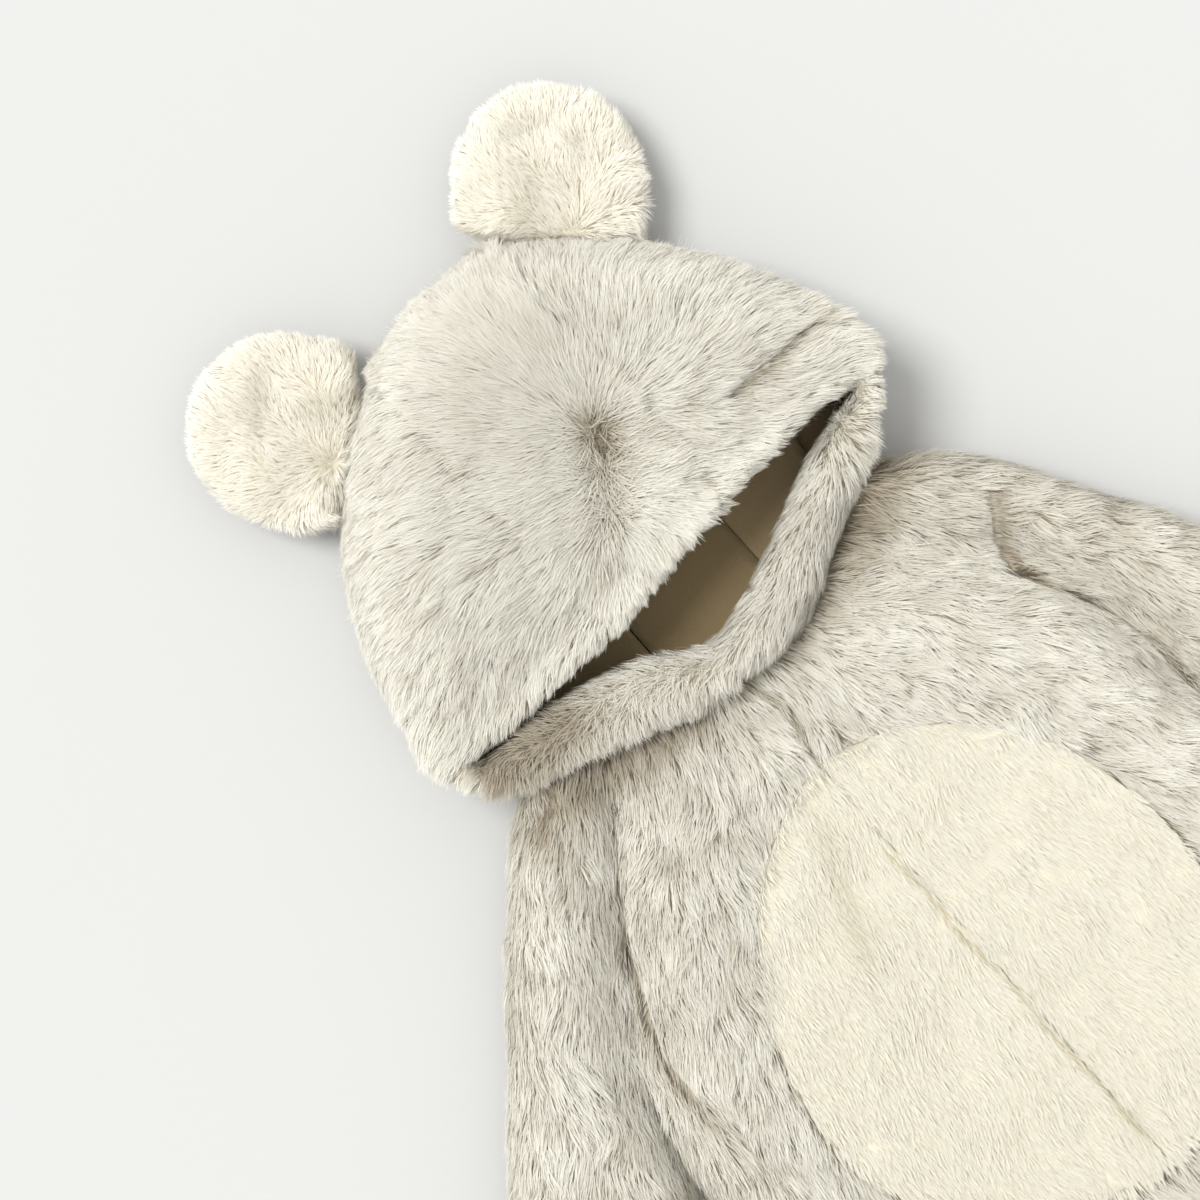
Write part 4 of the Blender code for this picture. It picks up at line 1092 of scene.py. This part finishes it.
class SuitOperator:
    """What the operators share: each builds its pieces from the settings."""

    def execute(self, context):
        self.build(context.scene.sleepsuit)
        return {"FINISHED"}


class SUIT_OT_hood(SuitOperator, bpy.types.Operator):
    """The three panels of the hood, with the cheek rolls cut in one with the sides"""

    bl_idname = "suit.hood"
    bl_label = "Hood"

    def build(self, s):
        press = (s.cloth.plush_depth, HOOD_CREASES, MOST_HOOD)
        for seed, side in enumerate(("left", "right", "centre"), 11):
            lay = partial(hood_lay, side=side)
            reach = partial(rim_reach, side=side)
            plush_panel("hood_" + side, GREY, s.hood_fur, s, seed, press, lay, reach)


class SUIT_OT_body(SuitOperator, bpy.types.Operator):
    """The fronts and backs, each cut in one with its leg"""

    bl_idname = "suit.body"
    bl_label = "Fronts and Backs"

    def build(self, s):
        press = (s.cloth.plush_depth, BODY_CREASES, MOST_BODY)
        flat = (s.cloth.plush_depth, (), MOST_BODY)
        for seed, side in enumerate(("left", "right"), 21):
            patch = cover_tree(set(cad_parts) - {"patch_" + side})
            lay = partial(body_lay, patch=patch)
            plush_panel("front_" + side, GREY, s.body_fur, s, seed, press, lay)
            plush_panel("back_" + side, GREY, s.back_fur, s, seed + 4, flat, lay)


class SUIT_OT_sleeves(SuitOperator, bpy.types.Operator):
    """The raglan sleeves"""

    bl_idname = "suit.sleeves"
    bl_label = "Sleeves"

    def build(self, s):
        press = (s.cloth.plush_depth, BODY_CREASES + SLEEVE_CREASES, MOST_BODY)
        for seed, side in enumerate(("left", "right"), 31):
            lay = partial(sleeve_lay, side=side)
            plush_panel("sleeve_" + side, GREY, s.sleeve_fur, s, seed, press, lay)


class SUIT_OT_patch(SuitOperator, bpy.types.Operator):
    """The two halves of the cream belly patch"""

    bl_idname = "suit.patch"
    bl_label = "Belly Patch"

    def build(self, s):
        press = (s.cloth.patch_depth, PATCH_CREASES, MOST_PATCH)
        for seed, side in enumerate(("left", "right"), 41):
            plush_panel("patch_" + side, SHORT_CREAM, s.patch_fur, s, seed, press, patch_lay)


class SUIT_OT_ears(SuitOperator, bpy.types.Operator):
    """The padded ears, cream in front and grey behind"""

    bl_idname = "suit.ears"
    bl_label = "Ears"

    def build(self, s):
        press = (s.cloth.ear_depth, EAR_CREASES, MOST_EAR)
        halves = (("front", 1.0, CREAM, s.ear_fur), ("back", -1.0, GREY, s.ear_back_fur))
        seed = 51
        for side in ("left", "right"):
            lay = partial(ear_lay, side=side)
            for half, sign, kind, style in halves:
                node = f"ear_{half}_{side}"
                piece = cloth_copy(node, node + "_pad")
                others = cover_tree({f"ear_front_{side}", f"ear_back_{side}"})
                faces = outer_faces(piece, sign)
                grow(piece, node, faces, others, kind, kind[1], style, s, seed, press, lay)
                seed += 1


class SUIT_OT_lining(SuitOperator, bpy.types.Operator):
    """The velour lining that shows in the face opening"""

    bl_idname = "suit.lining"
    bl_label = "Lining"

    def build(self, s):
        for side in ("left", "centre", "right"):
            node = "lining_" + side
            piece = cloth_copy(node, node + "_cloth")
            # The left lining is a lighter copy of the velour, as painted light.
            velour = "taupe_velour_painted_light" if side == "left" else "taupe_velour_lining"
            piece.data.materials.append(material_of(velour, s))
            only(piece)
            bpy.ops.object.shade_smooth_by_angle(angle=SHARP_EDGE)
            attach(piece, BODY)
            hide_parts(node)


class SUIT_OT_stage(SuitOperator, bpy.types.Operator):
    """The pale floor, the soft lights and the camera straight above"""

    bl_idname = "suit.stage"
    bl_label = "Studio"

    def build(self, s):
        nothing_selected()
        bpy.ops.mesh.primitive_plane_add(size=FLOOR_SIDE, location=(0.0, 0.0, FLOOR_HEIGHT))
        floor = bpy.context.active_object
        floor.name = "studio_floor"
        # Matt paper backdrop: nearly white, with no gloss.
        material = empty_material("matt_white_paper")
        tree = material.node_tree
        paper = {"Roughness": 0.95, "Specular IOR Level": 0.1}
        colour = linear(s.colours.floor)
        add_surface(tree, add_node(tree, "BsdfPrincipled", {"Base Color": colour, **paper}))
        floor.data.materials.append(material)
        up, middle = PICTURE_UP, PICTURE_MIDDLE
        right = Vector((up.y, -up.x, 0.0))
        key = bpy.data.lights.new("key_light", "SUN")
        key.energy = s.stage.key_light
        key.angle = s.stage.key_size
        light = put("key_light", key)
        above = Vector(UP)
        to_right, to_top, height = KEY_PLACE
        light.location = middle + right * to_right + up * to_top + above * height
        light.rotation_euler = (middle - light.location).to_track_quat("-Z", "Y").to_euler()
        world = bpy.data.worlds.new("even_studio")
        world.use_nodes = True
        background = world.node_tree.nodes["Background"]
        background.inputs["Color"].default_value = (1.0, 1.0, 1.0, 1.0)
        background.inputs["Strength"].default_value = s.stage.sky
        scene = bpy.context.scene
        scene.world = world
        scene.view_settings.view_transform = "Standard"
        lens = bpy.data.cameras.new("camera")
        lens.lens = LENS
        lens.sensor_width = SENSOR
        camera = put("camera", lens)
        place = Matrix((right, up, above)).transposed().to_4x4()
        place.translation = middle + above * s.stage.camera_height
        camera.matrix_world = place
        scene.camera = camera


OPERATORS = (SUIT_OT_hood, SUIT_OT_body, SUIT_OT_sleeves, SUIT_OT_patch)
OPERATORS += (SUIT_OT_ears, SUIT_OT_lining, SUIT_OT_stage)


class SUIT_PT_sidebar(bpy.types.Panel):
    """The sleepsuit's pieces in the 3D view's sidebar"""

    bl_label = "Sleepsuit"
    bl_space_type = "VIEW_3D"
    bl_region_type = "UI"
    bl_category = "Sleepsuit"

    def draw(self, context):
        for operator in OPERATORS:
            self.layout.operator(operator.bl_idname)


CLASSES = (*GROUPS.values(), SuitSettings, *OPERATORS, SUIT_PT_sidebar)


def register():
    for cls in CLASSES:
        bpy.utils.register_class(cls)
    bpy.types.Scene.sleepsuit = PointerProperty(type=SuitSettings, name="Sleepsuit")


def unregister():
    del bpy.types.Scene.sleepsuit
    for cls in reversed(CLASSES):
        bpy.utils.unregister_class(cls)


def main():
    register()
    bpy.ops.suit.hood()
    bpy.ops.suit.body()
    bpy.ops.suit.sleeves()
    bpy.ops.suit.patch()
    bpy.ops.suit.ears()
    bpy.ops.suit.lining()
    bpy.ops.suit.stage()


if __name__ == "__main__":
    main()
